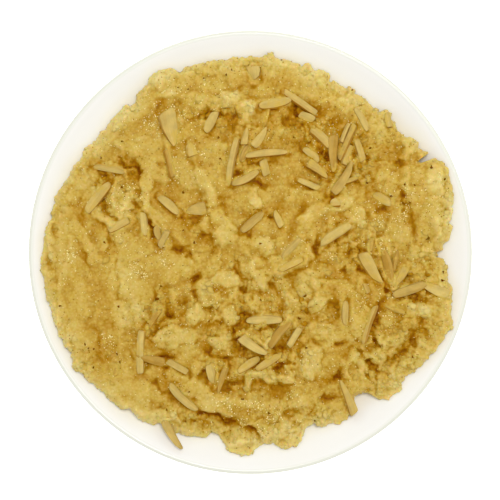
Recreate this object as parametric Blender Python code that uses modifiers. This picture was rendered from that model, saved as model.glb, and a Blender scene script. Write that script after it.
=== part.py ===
"""Suji halwa in its serving dish: a heap of moist semolina pudding, pressed with a spoon here and
crumbling there, with slivered almonds stuck in it, in a shallow round dish of white glazed porcelain.

Metres, +Z up, with the photograph's top edge at +Y. The origin is on the dish's axis, on the plane
that its foot ring stands on.
"""
import math
import random

import bmesh
import bpy
import numpy as np
from mathutils import Matrix, Vector, noise
from mathutils.bvhtree import BVHTree

MM = 0.001

# Dish: one wall, thinner towards a round lip, on a ring foot
DISH_RADIUS = 105 * MM
DISH_HEIGHT = 30 * MM
DISH_STEPS = 60
BASE_THICKNESS = 4.4 * MM
LIP_THICKNESS = 3.0 * MM
LIP_POINTS = 3
FOOT_HEIGHT = 2.6 * MM
FOOT_OUTER = 56 * MM
FOOT_INNER = 50 * MM
FOOT_ROUND = 0.8 * MM
WELL_RADIUS = 56 * MM
WALL_CURVE = 1.7
WALL_POINTS = 6

# Halwa: the outline of the heap on the dish, its dome and its broken edge
GAP = 0.5 * MM
CROWN_HEIGHT = 34 * MM
CROWN_CURVE = 2.6
EDGE_DEPTH = 4.6 * MM
LEAST_DEPTH = 3.6 * MM
EDGE_ROUND = 3.4 * MM
CORE_CUTS = 18
TOP_SPLIT = math.radians(122)
EDGE_BAND = (math.radians(103), math.radians(131))
EDGE_CUTS = 1
CRUMB_SIZES = [(8.0 * MM, 1.5 * MM), (4.2 * MM, 0.8 * MM)]

# Broad radius of the heap, in mm, at each step round from +X
EDGE_STEP_DEG = 20
EDGE_RADII = [91.4, 101.0, 91.8, 90.4, 92.6, 92.2, 93.2, 90.8, 93.4, 98.0,
              98.2, 97.6, 94.0, 90.6, 91.4, 89.8, 94.4, 100.0]
# Tongues and notches of the edge: degrees from +X, mm out or in, half width in degrees
EDGE_BREAKS = [
    (5.5, 2.4, 2.6), (12.0, 0.8, 3.0), (23.6, 1.8, 2.0), (27.5, -9.5, 1.3), (38.5, -1.8, 2.4),
    (45.5, 2.8, 1.6), (65.0, -4.0, 0.8), (73.0, 1.6, 1.2), (84.5, 1.2, 1.5), (111.2, -1.6, 1.2),
    (115.5, 2.0, 2.8), (119.6, 1.4, 1.4), (128.0, -2.2, 1.8), (147.5, 1.0, 2.0), (163.0, 1.0, 2.6),
    (184.0, 0.9, 2.0), (208.5, -1.8, 1.3), (213.3, 1.4, 1.8), (219.8, 1.4, 1.8), (233.5, -1.6, 2.0),
    (245.0, -2.6, 1.6), (259.0, -2.6, 2.0), (267.0, 5.6, 4.4), (282.6, 3.8, 1.6), (288.2, -4.0, 1.9),
    (306.0, -7.0, 2.6), (315.6, 3.2, 2.8), (340.0, 0.9, 2.0), (349.0, 1.0, 2.4), (355.0, 2.0, 2.0),
]
# Fine teeth of the edge: waves round the heap, height in mm, phase
EDGE_TEETH = [(37, 0.35, 1.3), (61, 0.30, 4.1), (97, 0.25, 2.2), (149, 0.20, 5.0)]

# Lumps: x, y, half length, half width, turn in degrees, height; lengths in mm
LUMPS = [
    (-1.4, 67.0, 6.4, 4.8, 80, 2.6), (-11.8, 70.8, 7.4, 5.0, 10, 2.0), (-11.3, 7.5, 5.8, 4.6, 0, 2.8),
    (-10.4, -12.4, 7.0, 5.4, 0, 2.6), (1.9, 24.5, 4.6, 2.4, 90, 1.6), (-35.4, -39.3, 9.4, 6.2, 0, 2.8),
    (-25.0, -28.4, 5.2, 4.6, 90, 2.4), (-9.4, -29.9, 6.2, 6.0, 0, 2.4), (-16.5, -39.3, 6.2, 4.6, 0, 2.4),
    (28.4, -18.0, 10.6, 9.4, 60, 3.0), (28.4, -55.8, 8.4, 5.4, 90, 2.2), (78.0, -27.0, 7.4, 5.0, 20, 3.4),
    (-62.3, -41.7, 6.0, 4.8, 0, 2.2), (-69.0, 17.0, 5.6, 3.4, 130, 2.4), (7.1, 3.2, 4.4, 4.0, 0, 2.0),
    (5.7, -14.3, 5.0, 4.0, 90, 2.2), (1.9, -4.8, 4.0, 3.6, 0, 1.8), (-4.2, -88.9, 9.4, 6.0, 0, 1.4),
    (-42.5, 82.0, 7.4, 4.4, 25, 2.0), (75.7, 50.5, 5.6, 4.6, 45, 2.0), (87.5, 36.3, 5.6, 5.0, 0, 1.8),
    (26.0, -68.0, 8.0, 6.0, 30, 1.6), (-25.0, 60.0, 7.0, 5.0, 40, 1.6), (52.0, -32.0, 6.0, 5.0, 60, 1.8),
]
# Ridges and raised runs: height, half width, then the points of the run; mm
RIDGES = [
    (2.6, 2.6, [(-1.8, -62.0), (0.0, -56.8), (10.0, -58.5), (18.5, -60.0)]),
    (2.0, 4.6, [(-78.0, 12.7), (-76.0, 4.0), (-73.2, -3.9)]),
    (1.8, 4.0, [(4.0, -8.0), (14.0, -5.0), (25.0, 0.0)]),
    (1.6, 5.0, [(-20.0, -70.0), (-4.0, -74.0), (10.0, -75.0)]),
    (1.6, 5.0, [(78.0, -8.0), (84.0, 6.0), (86.0, 22.0)]),
]
# Ledges: step in mm, then the run of the broken edge, with the higher side on its left
LEDGES = [
    (3.2, [(-42.5, 2.3), (-47.2, 14.1), (-53.4, 23.1), (-51.5, 26.9), (-52.0, 41.0), (-61.9, 50.5)][::-1]),
    (3.0, [(5.7, -89.9), (1.0, -84.2), (-2.3, -85.2), (-8.5, -80.4), (-13.2, -78.5), (-21.2, -75.7)][::-1]),
    (3.2, [(82.8, -32.2), (74.7, -42.6), (66.2, -51.1)][::-1]),
    (1.8, [(7.0, -14.5), (16.0, -11.5), (24.0, -7.5)]),
    (2.2, [(10.0, -62.4), (20.0, -62.6), (33.0, -65.0)]),
    (2.0, [(-24.0, 8.4), (-19.8, 7.8), (-15.5, 2.6), (-8.0, 3.8)]),
]
LEDGE_REACH = 11 * MM
LEDGE_SOFTNESS = 1.8 * MM
LEAST_HALF_WIDTH = 2.2
# Cracks: depth, half width, then the points of the run; mm
CRACKS = [
    (3.4, 1.7, [(-61.9, 44.8), (-59.0, 40.1), (-50.5, 37.7), (-51.5, 26.9)]),
    (2.6, 1.6, [(-50.5, 18.8), (-47.2, 14.1), (-44.9, 8.0), (-41.1, 3.2)]),
    (2.4, 1.5, [(-6.1, -4.8), (-2.8, -13.3), (-3.3, -18.0)]),
    (1.6, 1.7, [(-62.8, -4.8), (-62.8, -21.8)]),
    (2.6, 1.5, [(57.7, -42.1), (61.5, -44.0)]),
    (2.4, 1.5, [(56.8, -51.1), (60.6, -55.8)]),
    (3.6, 2.0, [(82.8, -32.6), (74.7, -43.2), (66.2, -51.7)]),
    (3.0, 1.7, [(-21.2, -76.3), (-13.2, -79.1), (-8.5, -81.0), (-2.3, -85.8), (1.0, -84.8), (5.7, -90.5)]),
    (1.8, 2.0, [(71.9, 24.5), (76.6, 11.3)]),
    (2.4, 1.5, [(-9.0, -37.5), (-5.0, -43.5), (5.0, -48.0)]),
    (2.0, 1.6, [(-66.0, 9.0), (-68.0, 2.0), (-66.5, -4.0)]),
]
# Pits and shaded hollows: x, y, half length, half width, turn in degrees, depth; lengths in mm
PITS = [
    (-66.6, 35.9, 5.4, 3.4, 20, 2.6), (-20.8, 8.0, 2.4, 1.8, 0, 2.6), (-25.5, -12.4, 1.9, 1.7, 0, 2.8),
    (-26.0, -21.8, 1.9, 1.6, 90, 2.6), (21.8, 66.2, 3.2, 1.4, 75, 2.2), (-11.8, 60.3, 5.0, 3.4, 90, 2.8),
    (-4.7, 39.7, 4.0, 2.0, 90, 2.4), (35.2, 45.8, 3.0, 1.6, 90, 2.4), (48.7, 48.1, 2.0, 1.8, 0, 2.2),
    (30.3, 2.5, 5.8, 2.4, 90, 2.8), (44.0, -7.2, 2.2, 1.8, 0, 2.2), (39.0, -22.8, 4.2, 2.8, 0, 3.0),
    (54.9, -8.6, 3.0, 2.2, 120, 2.4), (-61.4, -34.6, 2.0, 1.8, 0, 2.6), (-38.5, -31.0, 3.8, 2.0, 90, 2.8),
    (-47.9, -40.5, 3.8, 1.4, 90, 2.6), (-37.8, -48.8, 2.0, 1.8, 0, 2.2), (-19.6, -45.1, 2.6, 1.8, 0, 2.8),
    (-12.2, -48.8, 1.8, 1.6, 0, 2.0), (-0.2, -48.5, 3.6, 1.6, 0, 3.4), (11.9, -46.4, 2.0, 1.8, 0, 2.8),
    (12.8, -53.0, 1.8, 1.6, 0, 2.6), (20.4, -55.9, 2.0, 1.6, 120, 2.2), (39.0, -59.4, 3.4, 1.8, 70, 2.4),
    (38.3, -69.1, 5.0, 1.6, 10, 2.4), (45.0, -45.5, 1.9, 1.7, 0, 2.4), (79.5, -19.0, 2.4, 1.8, 0, 2.6),
    (71.9, 27.8, 2.0, 1.8, 0, 2.4), (71.0, 42.0, 5.0, 2.0, 160, 2.2), (-3.0, -29.5, 3.0, 1.8, 0, 2.6),
    (-70.5, 24.0, 3.8, 2.4, 60, 2.6), (14.0, -27.0, 3.0, 2.2, 0, 2.0), (1.5, 11.0, 4.0, 2.0, 40, 2.4),
    (-8.0, -57.0, 5.0, 4.0, 90, 2.2), (28.0, 38.0, 4.0, 2.2, 40, 2.2), (44.0, 36.0, 3.6, 2.4, 90, 2.2),
]

# Slivered almonds: shape, wide or left end x and y, other end x and y, seen width, lift of each end; mm
ALMONDS = [
    ("wedge", -37.8, 66.6, -36.4, 50.0, 9.0, 1.6, 0.4), ("leaf", -40.6, 47.2, -36.4, 35.4, 3.0, 0.8, 0.8),
    ("leaf", -67.5, 39.6, -58.1, 38.2, 2.5, 1.2, 1.2), ("leaf", -16.0, 66.1, -20.8, 56.2, 4.3, 0.9, 0.9),
    ("bar", -6.1, 53.8, -10.4, 32.1, 3.0, 1.4, 1.0), ("leaf", -1.4, 58.5, -3.3, 50.0, 3.6, 0.8, 0.8),
    ("bar", 7.6, 58.5, 1.5, 49.6, 3.6, 1.0, 1.0), ("leaf", -1.4, 45.8, 17.1, 47.2, 2.7, 1.6, 1.4),
    ("leaf", -1.4, 49.6, -4.2, 44.4, 4.0, 0.6, 0.6), ("bar", 5.7, 43.4, 7.6, 36.3, 4.0, 0.6, 0.6),
    ("leaf", -8.5, 32.1, 3.8, 37.7, 4.3, 1.6, 1.2), ("bar", 4.8, 68.9, 18.5, 71.8, 4.2, 0.8, 0.8),
    ("leaf", 15.6, 75.6, 31.2, 65.2, 3.8, 1.4, 1.4), ("leaf", 23.2, 63.2, 29.8, 65.4, 4.5, 0.5, 0.5),
    ("leaf", 28.9, 57.6, 36.4, 50.0, 4.0, 1.2, 1.2), ("leaf", 25.1, 49.1, 32.2, 42.9, 3.5, 0.8, 0.8),
    ("wedge", 27.0, 42.0, 36.0, 35.4, 4.3, 1.4, 1.0), ("leaf", 22.7, 34.0, 32.2, 30.2, 2.6, 0.8, 0.8),
    ("wedge", 39.8, 54.8, 38.8, 38.7, 4.0, 1.6, 1.2), ("leaf", 49.2, 60.4, 42.6, 44.4, 2.4, 1.2, 1.0),
    ("leaf", 45.9, 61.9, 44.0, 55.7, 2.4, 0.6, 0.6), ("leaf", 45.9, 50.0, 44.0, 42.5, 2.4, 0.6, 0.6),
    ("leaf", 49.7, 52.9, 52.5, 44.4, 2.8, 0.8, 0.8), ("leaf", 50.2, 67.1, 54.9, 58.1, 2.8, 0.8, 0.8),
    ("leaf", 64.3, 66.6, 65.3, 60.0, 2.8, 0.6, 0.6), ("leaf", 47.3, 42.5, 38.3, 27.8, 3.8, 1.4, 1.2),
    ("leaf", 50.6, 34.9, 42.6, 32.1, 2.4, 0.6, 0.6), ("leaf", 59.1, 27.3, 64.3, 23.1, 4.0, 0.6, 0.2),
    ("bar", 46.4, 12.7, 34.1, 4.2, 4.3, 1.0, 1.0), ("leaf", 23.2, 6.5, 14.7, -2.4, 2.8, 1.0, 0.8),
    ("sunk", 23.2, -4.3, 16.1, -6.2, 2.4, 0.2, 0.2), ("leaf", 11.9, 19.3, 14.7, 11.7, 3.6, 1.0, 1.0),
    ("wedge", 53.9, -1.0, 61.5, -13.3, 5.5, 2.0, 0.8), ("wedge", 62.9, 0.9, 65.8, -13.8, 3.8, 1.4, 0.8),
    ("leaf", 69.5, 0.9, 67.2, -8.6, 2.2, 0.8, 0.6), ("leaf", 73.3, -7.2, 68.6, -15.2, 3.6, 0.8, 0.6),
    ("sunk", 57.2, 5.6, 55.8, 0.9, 3.6, 0.2, 0.2), ("leaf", 67.6, -20.4, 82.3, -15.2, 4.0, 1.4, 1.8),
    ("wedge", 82.3, -15.2, 93.2, -19.5, 4.6, 1.6, 1.6), ("leaf", 58.7, -25.1, 53.0, -42.6, 2.8, 1.2, 1.2),
    ("sunk", 63.4, -24.7, 72.4, -28.4, 2.2, 0.2, 0.2), ("bar", 44.5, -23.2, 44.0, -33.2, 4.0, 1.8, 1.0),
    ("leaf", 21.8, -36.0, 17.1, -43.6, 3.3, 1.2, 1.2), ("bar", 16.6, -32.2, 10.9, -42.6, 2.6, 1.4, 1.2),
    ("bar", 42.6, -61.1, 49.2, -76.7, 3.3, 1.2, 1.6), ("bar", -0.4, -31.3, 14.2, -31.7, 3.5, 2.2, 1.8),
    ("leaf", -4.2, -40.3, 8.1, -46.9, 4.2, 2.0, 1.4), ("leaf", -5.6, -56.3, 4.3, -50.2, 3.4, 1.6, 1.2),
    ("leaf", 3.4, -55.4, 14.7, -48.3, 3.3, 1.4, 1.2), ("leaf", -19.3, -52.1, -17.4, -61.5, 4.5, 1.0, 1.0),
    ("leaf", -11.3, -54.0, -15.1, -66.7, 2.4, 1.2, 1.0), ("leaf", -37.8, -51.1, -30.2, -56.3, 3.0, 0.8, 0.8),
    ("wedge", -36.8, -62.5, -25.0, -73.8, 4.0, 1.8, 1.2), ("leaf", -49.6, -47.8, -40.1, -50.2, 3.8, 2.6, 1.8),
    ("bar", -51.5, -36.9, -52.4, -56.8, 3.6, 1.2, 1.0), ("sunk", -42.0, -27.5, -47.2, -34.6, 2.8, 0.2, 0.2),
    ("wedge", -41.0, -79.0, -32.1, -92.7, 4.2, -0.4, 1.4), ("leaf", -66.1, 32.1, -76.5, 18.8, 4.0, 0.6, 1.0),
    ("sunk", -59.0, 14.6, -65.2, 9.4, 2.6, 0.2, 0.2), ("bar", -50.5, 18.8, -49.1, 8.0, 3.2, 2.0, 1.6),
    ("bar", -38.7, 9.9, -42.5, 2.8, 2.8, 2.0, 1.6), ("leaf", -43.9, 12.2, -42.5, 6.5, 2.8, 0.8, 0.8),
    ("leaf", -41.6, 25.5, -34.0, 18.4, 3.3, 0.8, 0.8), ("wedge", -20.3, 21.6, -29.3, 19.3, 5.5, 1.2, 0.4),
    ("leaf", 5.7, 18.8, -4.2, 9.9, 3.8, 1.0, 1.4), ("wedge", 1.0, 87.8, 1.9, 81.7, 6.5, 0.6, 0.2),
    ("leaf", -29.9, 47.2, -24.9, 47.2, 4.6, 0.5, 0.5), ("bar", 53.4, -14.7, 55.2, -19.0, 2.6, 0.5, 0.5),
    ("leaf", 37.5, 23.1, 42.1, 23.1, 4.0, 0.5, 0.5), ("sunk", -63.8, -52.0, -63.3, -57.7, 2.6, 0.2, 0.2),
]
ALMOND_SIDES = 6
ALMOND_RINGS = 5
ALMOND_THICKNESS = 1.7 * MM
ALMOND_EDGE_ON = 2.9 * MM
ALMOND_EDGE_DEPTH = 2.5 * MM
ALMOND_BLUNTNESS = 0.7
ALMOND_SHOWS = 0.7 * MM
ALMOND_BITE = 0.7 * MM
ALMOND_END = 0.2
ALMOND_DISH_CLEARANCE = 0.8 * MM
ALMOND_SEED = 7

# Finishes: linear base colour, roughness
PORCELAIN = ((0.90, 0.87, 0.80, 1.0), 0.16)
SEMOLINA = ((0.58, 0.39, 0.11, 1.0), 0.55)


def clear_scene():
    """Starts from an empty scene."""
    for item in list(bpy.data.objects):
        bpy.data.objects.remove(item, do_unlink=True)


def new_collection(name):
    """A collection of the scene."""
    collection = bpy.data.collections.new(name)
    bpy.context.scene.collection.children.link(collection)
    return collection


def finish_material(name, finish):
    """A plain surface of one colour."""
    material = bpy.data.materials.new(name)
    material.use_nodes = True
    surface = material.node_tree.nodes["Principled BSDF"]
    surface.inputs["Base Color"].default_value = finish[0]
    surface.inputs["Roughness"].default_value = finish[1]
    surface.inputs["Metallic"].default_value = 0.0
    return material


def wall_section(share):
    """Inner and outer face of the dish's wall, from its middle line, at shares of the way to the lip."""
    lip_centre = DISH_RADIUS - LIP_THICKNESS / 2
    low = FOOT_HEIGHT + BASE_THICKNESS / 2
    rise = DISH_HEIGHT - LIP_THICKNESS / 2 - low
    reach = lip_centre - WELL_RADIUS
    radius = share * lip_centre
    along = np.clip((radius - WELL_RADIUS) / reach, 0, 1)
    height = low + rise * along ** WALL_CURVE
    slope = np.arctan(WALL_CURVE * rise / reach * along ** (WALL_CURVE - 1))
    half = (BASE_THICKNESS + (LIP_THICKNESS - BASE_THICKNESS) * along) / 2
    inner = np.stack([radius - half * np.sin(slope), height + half * np.cos(slope)], axis=-1)
    outer = np.stack([radius + half * np.sin(slope), height - half * np.cos(slope)], axis=-1)
    return inner, outer


INNER_FACE = wall_section(np.linspace(0, 1, 400))[0]


def wall_height(radius):
    """Height of the dish's inner face at a distance from its axis."""
    return np.interp(radius, INNER_FACE[:, 0], INNER_FACE[:, 1])


def dish_profile():
    """Half section of the dish: up the inner face, over the lip and down the outside to the foot."""
    lip_centre = DISH_RADIUS - LIP_THICKNESS / 2
    start = WELL_RADIUS / lip_centre
    shares = start + (1 - start) * np.linspace(0, 1, WALL_POINTS) ** 0.8
    inner, outer = wall_section(shares)
    points = [(0.0, FOOT_HEIGHT + BASE_THICKNESS), (WELL_RADIUS / 2, FOOT_HEIGHT + BASE_THICKNESS)]
    points += [tuple(point) for point in inner]
    middle = (inner[-1] + outer[-1]) / 2
    spoke = inner[-1] - middle
    for step in range(1, LIP_POINTS + 1):
        turn = -math.pi * step / (LIP_POINTS + 1)
        points.append((middle[0] + spoke[0] * math.cos(turn) - spoke[1] * math.sin(turn),
                       middle[1] + spoke[0] * math.sin(turn) + spoke[1] * math.cos(turn)))
    points += [tuple(point) for point in outer[:0:-1]]
    outer_foot = [(FOOT_ROUND, FOOT_HEIGHT), (0.0, FOOT_ROUND), (-FOOT_ROUND, 0.0)]
    points += [(FOOT_OUTER + out, height) for out, height in outer_foot]
    points += [(FOOT_INNER - out, height) for out, height in outer_foot[::-1]]
    points.append((0.0, FOOT_HEIGHT))
    return points


def make_dish(collection):
    """The turned porcelain dish."""
    mesh = bpy.data.meshes.new("dish")
    points = [(radius, 0.0, height) for radius, height in dish_profile()]
    mesh.from_pydata(points, [(index, index + 1) for index in range(len(points) - 1)], [])
    dish = bpy.data.objects.new("dish", mesh)
    collection.objects.link(dish)
    screw = dish.modifiers.new("turned", "SCREW")
    screw.axis = "Z"
    screw.steps = DISH_STEPS
    screw.render_steps = DISH_STEPS
    screw.use_merge_vertices = True
    screw.merge_threshold = 0.00001
    screw.use_smooth_shade = True
    mesh.materials.append(finish_material("white glazed porcelain", PORCELAIN))
    return dish


def broad_radius(angle):
    """Smooth radius of the heap, without its tongues and notches."""
    spot = np.degrees(angle) % 360 / EDGE_STEP_DEG
    low = np.floor(spot).astype(int)
    share = spot - low
    ring = np.array(EDGE_RADII) * MM
    before, start, stop, after = (ring[(low + shift) % len(ring)] for shift in (-1, 0, 1, 2))
    cubic = 3 * (start - stop) + after - before
    square = 2 * before - 5 * start + 4 * stop - after
    return start + 0.5 * share * (stop - before + share * (square + share * cubic))


def edge_radius(angle):
    """Radius of the heap's broken edge."""
    radius = broad_radius(angle)
    for centre, change, half_width in EDGE_BREAKS:
        away = (np.degrees(angle) - centre + 180) % 360 - 180
        radius = radius + change * MM * np.exp(-np.abs(away / half_width) ** 3)
    for count, height, phase in EDGE_TEETH:
        radius = radius + height * MM * np.sin(count * angle + phase)
    return radius


def blob(x, y, shape):
    """Share of a lump or pit at each place: 1 on it and 0 away from it, with a steep side."""
    centre_x, centre_y = shape[0] * MM, shape[1] * MM
    half_length, half_width = (max(size, LEAST_HALF_WIDTH) * MM for size in shape[2:4])
    turn = math.radians(shape[4])
    along = (x - centre_x) * math.cos(turn) + (y - centre_y) * math.sin(turn)
    across = (y - centre_y) * math.cos(turn) - (x - centre_x) * math.sin(turn)
    return np.exp(-np.hypot(along / half_length, across / half_width) ** 4)


def run_distance(x, y, points):
    """Distance from each place to a run of straight pieces, less than 0 on its right-hand side."""
    nearest = np.full(x.shape, np.inf)
    signed = np.zeros(x.shape)
    for (x0, y0), (x1, y1) in zip(points, points[1:]):
        x0, y0, x1, y1 = x0 * MM, y0 * MM, x1 * MM, y1 * MM
        length = math.hypot(x1 - x0, y1 - y0)
        ahead_x, ahead_y = (x1 - x0) / length, (y1 - y0) / length
        along = np.clip((x - x0) * ahead_x + (y - y0) * ahead_y, 0, length)
        away = np.hypot(x - x0 - along * ahead_x, y - y0 - along * ahead_y)
        side = np.where((y - y0) * ahead_x - (x - x0) * ahead_y >= 0, 1.0, -1.0)
        closer = away < nearest
        nearest = np.where(closer, away, nearest)
        signed = np.where(closer, away * side, signed)
    return signed


def crumbs(x, y):
    """Uneven lumps too small to place by hand."""
    total = np.zeros(x.shape)
    for size, height in CRUMB_SIZES:
        total += height * np.array([noise.noise((px / size, py / size, size / MM)) for px, py in zip(x, y)])
    return total


def top_height(x, y):
    """Height of the heap's upper face."""
    radius = np.hypot(x, y)
    broad = broad_radius(np.arctan2(y, x))
    rim = wall_height(broad) + EDGE_DEPTH
    height = CROWN_HEIGHT - (CROWN_HEIGHT - rim) * (radius / broad) ** CROWN_CURVE
    proud = np.zeros(x.shape)
    for lump in LUMPS:
        proud = np.maximum(proud, lump[5] * MM * blob(x, y, lump))
    for ridge, half_width, points in RIDGES:
        away = run_distance(x, y, points)
        proud = np.maximum(proud, ridge * MM * np.exp(-(away / (half_width * MM)) ** 4))
    for step, points in LEDGES:
        away = run_distance(x, y, points)
        height = height + step / 2 * MM * np.tanh(away / LEDGE_SOFTNESS) * np.exp(-(away / LEDGE_REACH) ** 2)
    for depth, half_width, points in CRACKS:
        away = run_distance(x, y, points) / (max(half_width, LEAST_HALF_WIDTH) * MM)
        height = height - depth * MM * np.exp(-away ** 2)
    for pit in PITS:
        height = height - pit[5] * MM * blob(x, y, pit)
    return np.maximum(height + proud + crumbs(x, y), wall_height(radius) + LEAST_DEPTH)


def ball_directions(places):
    """Directions that spread the squares of a cube evenly over a ball."""
    directions = np.tan(places * math.pi / 4)
    return directions / np.linalg.norm(directions, axis=1, keepdims=True)


def core_places(directions):
    """Places of the halwa's surface for directions from a ball: the heap above, the dish's shape below."""
    angle = np.arctan2(directions[:, 1], directions[:, 0])
    fall = np.arccos(np.clip(directions[:, 2], -1, 1))
    edge = edge_radius(angle)
    split = math.cos(TOP_SPLIT)
    upper = np.sqrt(np.clip((1 - np.cos(fall)) / (1 - split), 0, None))
    lower = np.sqrt(np.clip((1 + np.cos(fall)) / (1 + split), 0, None))
    cell = 0.25 / CORE_CUTS
    upper = np.where(np.abs(upper - 1) < cell, 1.0, upper)
    on_top = upper <= 1

    cliff = np.clip(top_height((edge - EDGE_ROUND) * np.cos(angle), (edge - EDGE_ROUND) * np.sin(angle))
                    - wall_height(edge), LEAST_DEPTH, None)
    face = np.hypot(EDGE_ROUND, cliff)
    path = upper * (edge - EDGE_ROUND + face)
    turn = np.clip((path - edge + EDGE_ROUND) / face, 0, 1) * math.pi / 2
    top_radius = np.minimum(path, edge - EDGE_ROUND) + EDGE_ROUND * np.sin(turn)
    top_x, top_y = top_radius * np.cos(angle), top_radius * np.sin(angle)
    foot = wall_height(edge) + GAP
    top_z = foot + (np.maximum(top_height(top_x, top_y), foot) - foot) * np.cos(turn)

    radius = np.where(on_top, top_radius, edge * np.minimum(lower, 1))
    height = np.where(on_top, top_z, wall_height(radius) + GAP)
    height = np.maximum(height, wall_height(radius) + GAP)
    return np.stack([radius * np.cos(angle), radius * np.sin(angle), height], axis=-1)


def make_core(collection):
    """The heap without its almonds, shaped from an even ball of squares."""
    ball = bmesh.new()
    bmesh.ops.create_cube(ball, size=2.0)
    bmesh.ops.subdivide_edges(ball, edges=ball.edges[:], cuts=CORE_CUTS, use_grid_fill=True)
    ball.verts.index_update()
    directions = ball_directions(np.array([vertex.co for vertex in ball.verts]))
    fall = np.arccos(directions[:, 2])
    angle = np.arctan2(directions[:, 1], directions[:, 0])
    rim_edges = []
    for edge in ball.edges:
        first, second = (vertex.index for vertex in edge.verts)
        turn = abs((angle[first] - angle[second] + math.pi) % (2 * math.pi) - math.pi)
        runs_round = turn * math.sin(fall[first]) > abs(fall[first] - fall[second])
        in_band = all(EDGE_BAND[0] < fall[index] < EDGE_BAND[1] for index in (first, second))
        if runs_round and in_band:
            rim_edges.append(edge)
    bmesh.ops.subdivide_edges(ball, edges=rim_edges, cuts=EDGE_CUTS)
    bmesh.ops.triangulate(ball, faces=ball.faces[:])
    mesh = bpy.data.meshes.new("halwa")
    ball.to_mesh(mesh)
    ball.free()
    places = np.empty(len(mesh.vertices) * 3)
    mesh.vertices.foreach_get("co", places)
    mesh.vertices.foreach_set("co", core_places(ball_directions(places.reshape(-1, 3))).ravel())
    mesh.update()
    core = bpy.data.objects.new("halwa", mesh)
    collection.objects.link(core)
    return core


def almond_width(shape, along):
    """Share of an almond's width at a place along it, from -1 at its first end to 1 at the other."""
    rounding = math.sqrt(max(1 - abs(along) ** (8 if shape == "bar" else 3), 0))
    if shape == "wedge":
        return rounding * (0.62 - 0.38 * along) / 0.85
    return rounding


def ground_under(core_tree, x, y):
    """Height of the modelled heap under a place, or None off the heap."""
    hit = core_tree.ray_cast(Vector((x, y, 2 * DISH_HEIGHT)), Vector((0, 0, -1)))[0]
    return hit.z if hit else None


def almond_line(core_tree, row, depth):
    """Ends of an almond's middle line: lying on the heap, biting into it and clear of the dish."""
    x0, y0, x1, y1, width, lift0, lift1 = (value * MM for value in row[1:])
    shares = [step / 8 for step in range(9)]
    places = [(x0 + (x1 - x0) * share, y0 + (y1 - y0) * share) for share in shares]
    grounds = [ground_under(core_tree, x, y) for x, y in places]
    known = [ground for ground in grounds if ground is not None]
    z0 = (grounds[0] or known[0]) + lift0
    z1 = (grounds[-1] or known[-1]) + lift1
    over = [(share, ground) for share, ground in zip(shares, grounds) if ground is not None]
    if row[0] != "sunk":
        buried = max(ground + ALMOND_SHOWS - depth / 2 - z0 - (z1 - z0) * share for share, ground in over)
        z0, z1 = z0 + max(buried, 0), z1 + max(buried, 0)
    loose = min(z0 + (z1 - z0) * share + ALMOND_BITE - depth / 2 - ground
                for share, ground in over if ALMOND_END < share < 1 - ALMOND_END)
    z0, z1 = z0 - max(loose, 0), z1 - max(loose, 0)
    low = [wall_height(math.hypot(x, y) + width / 2) + depth / 2 + ALMOND_DISH_CLEARANCE for x, y in places]
    z0 = max(z0, low[0])
    for rest, share in zip(low, shares):
        if share > ALMOND_END:
            z1 = max(z1, (rest - z0 * (1 - share)) / share)
    return Vector((x0, y0, z0)), Vector((x1, y1, z1))


def make_almond(name, row, core_tree, chance, collection):
    """One almond sliver, laid on the heap or half sunk in it."""
    shape, width = row[0], row[5] * MM
    depth = ALMOND_THICKNESS if width >= ALMOND_EDGE_ON else ALMOND_EDGE_DEPTH
    start, stop = almond_line(core_tree, row, depth)
    run = stop - start
    bpy.ops.mesh.primitive_uv_sphere_add(segments=ALMOND_SIDES, ring_count=ALMOND_RINGS, radius=1.0)
    almond = bpy.context.object
    almond.name = name
    bow = chance.uniform(-0.05, 0.05) * run.length
    roll = math.radians(chance.uniform(-14, 14))
    for vertex in almond.data.vertices:
        spread = math.sqrt(max(1 - vertex.co.z ** 2, 0.0))
        round_x, round_y = (vertex.co.x / spread, vertex.co.y / spread) if spread > 0.001 else (0.0, 0.0)
        along = math.copysign(abs(vertex.co.z) ** ALMOND_BLUNTNESS, vertex.co.z)
        share = almond_width(shape, along)
        side = round_x * share * width / 2 + bow * (1 - along * along)
        up = round_y * math.sqrt(share) * depth / 2
        vertex.co = (along * run.length / 2, side, up)
    faces = bmesh.new()
    faces.from_mesh(almond.data)
    bmesh.ops.triangulate(faces, faces=faces.faces[:])
    faces.to_mesh(almond.data)
    faces.free()
    ahead = run.normalized()
    across = Vector((0, 0, 1)).cross(ahead).normalized()
    frame = Matrix((ahead, across, ahead.cross(across))).transposed().to_4x4()
    almond.data.transform(Matrix.Translation(start + run / 2) @ frame @ Matrix.Rotation(roll, 4, "X"))
    for owner in list(almond.users_collection):
        owner.objects.unlink(almond)
    collection.objects.link(almond)


def keep_main_body(mesh):
    """Drops loose scraps and fills sealed hollows, which are bodies apart from the heap."""
    model = bmesh.new()
    model.from_mesh(mesh)
    left = set(model.faces)
    bodies = []
    while left:
        queue = [left.pop()]
        body = set(queue)
        while queue:
            for edge in queue.pop().edges:
                for face in edge.link_faces:
                    if face not in body:
                        body.add(face)
                        queue.append(face)
        left -= body
        bodies.append(body)
    bodies.sort(key=len)
    for body in bodies[:-1]:
        bmesh.ops.delete(model, geom=list(body), context="FACES")
    model.to_mesh(mesh)
    model.free()


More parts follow.
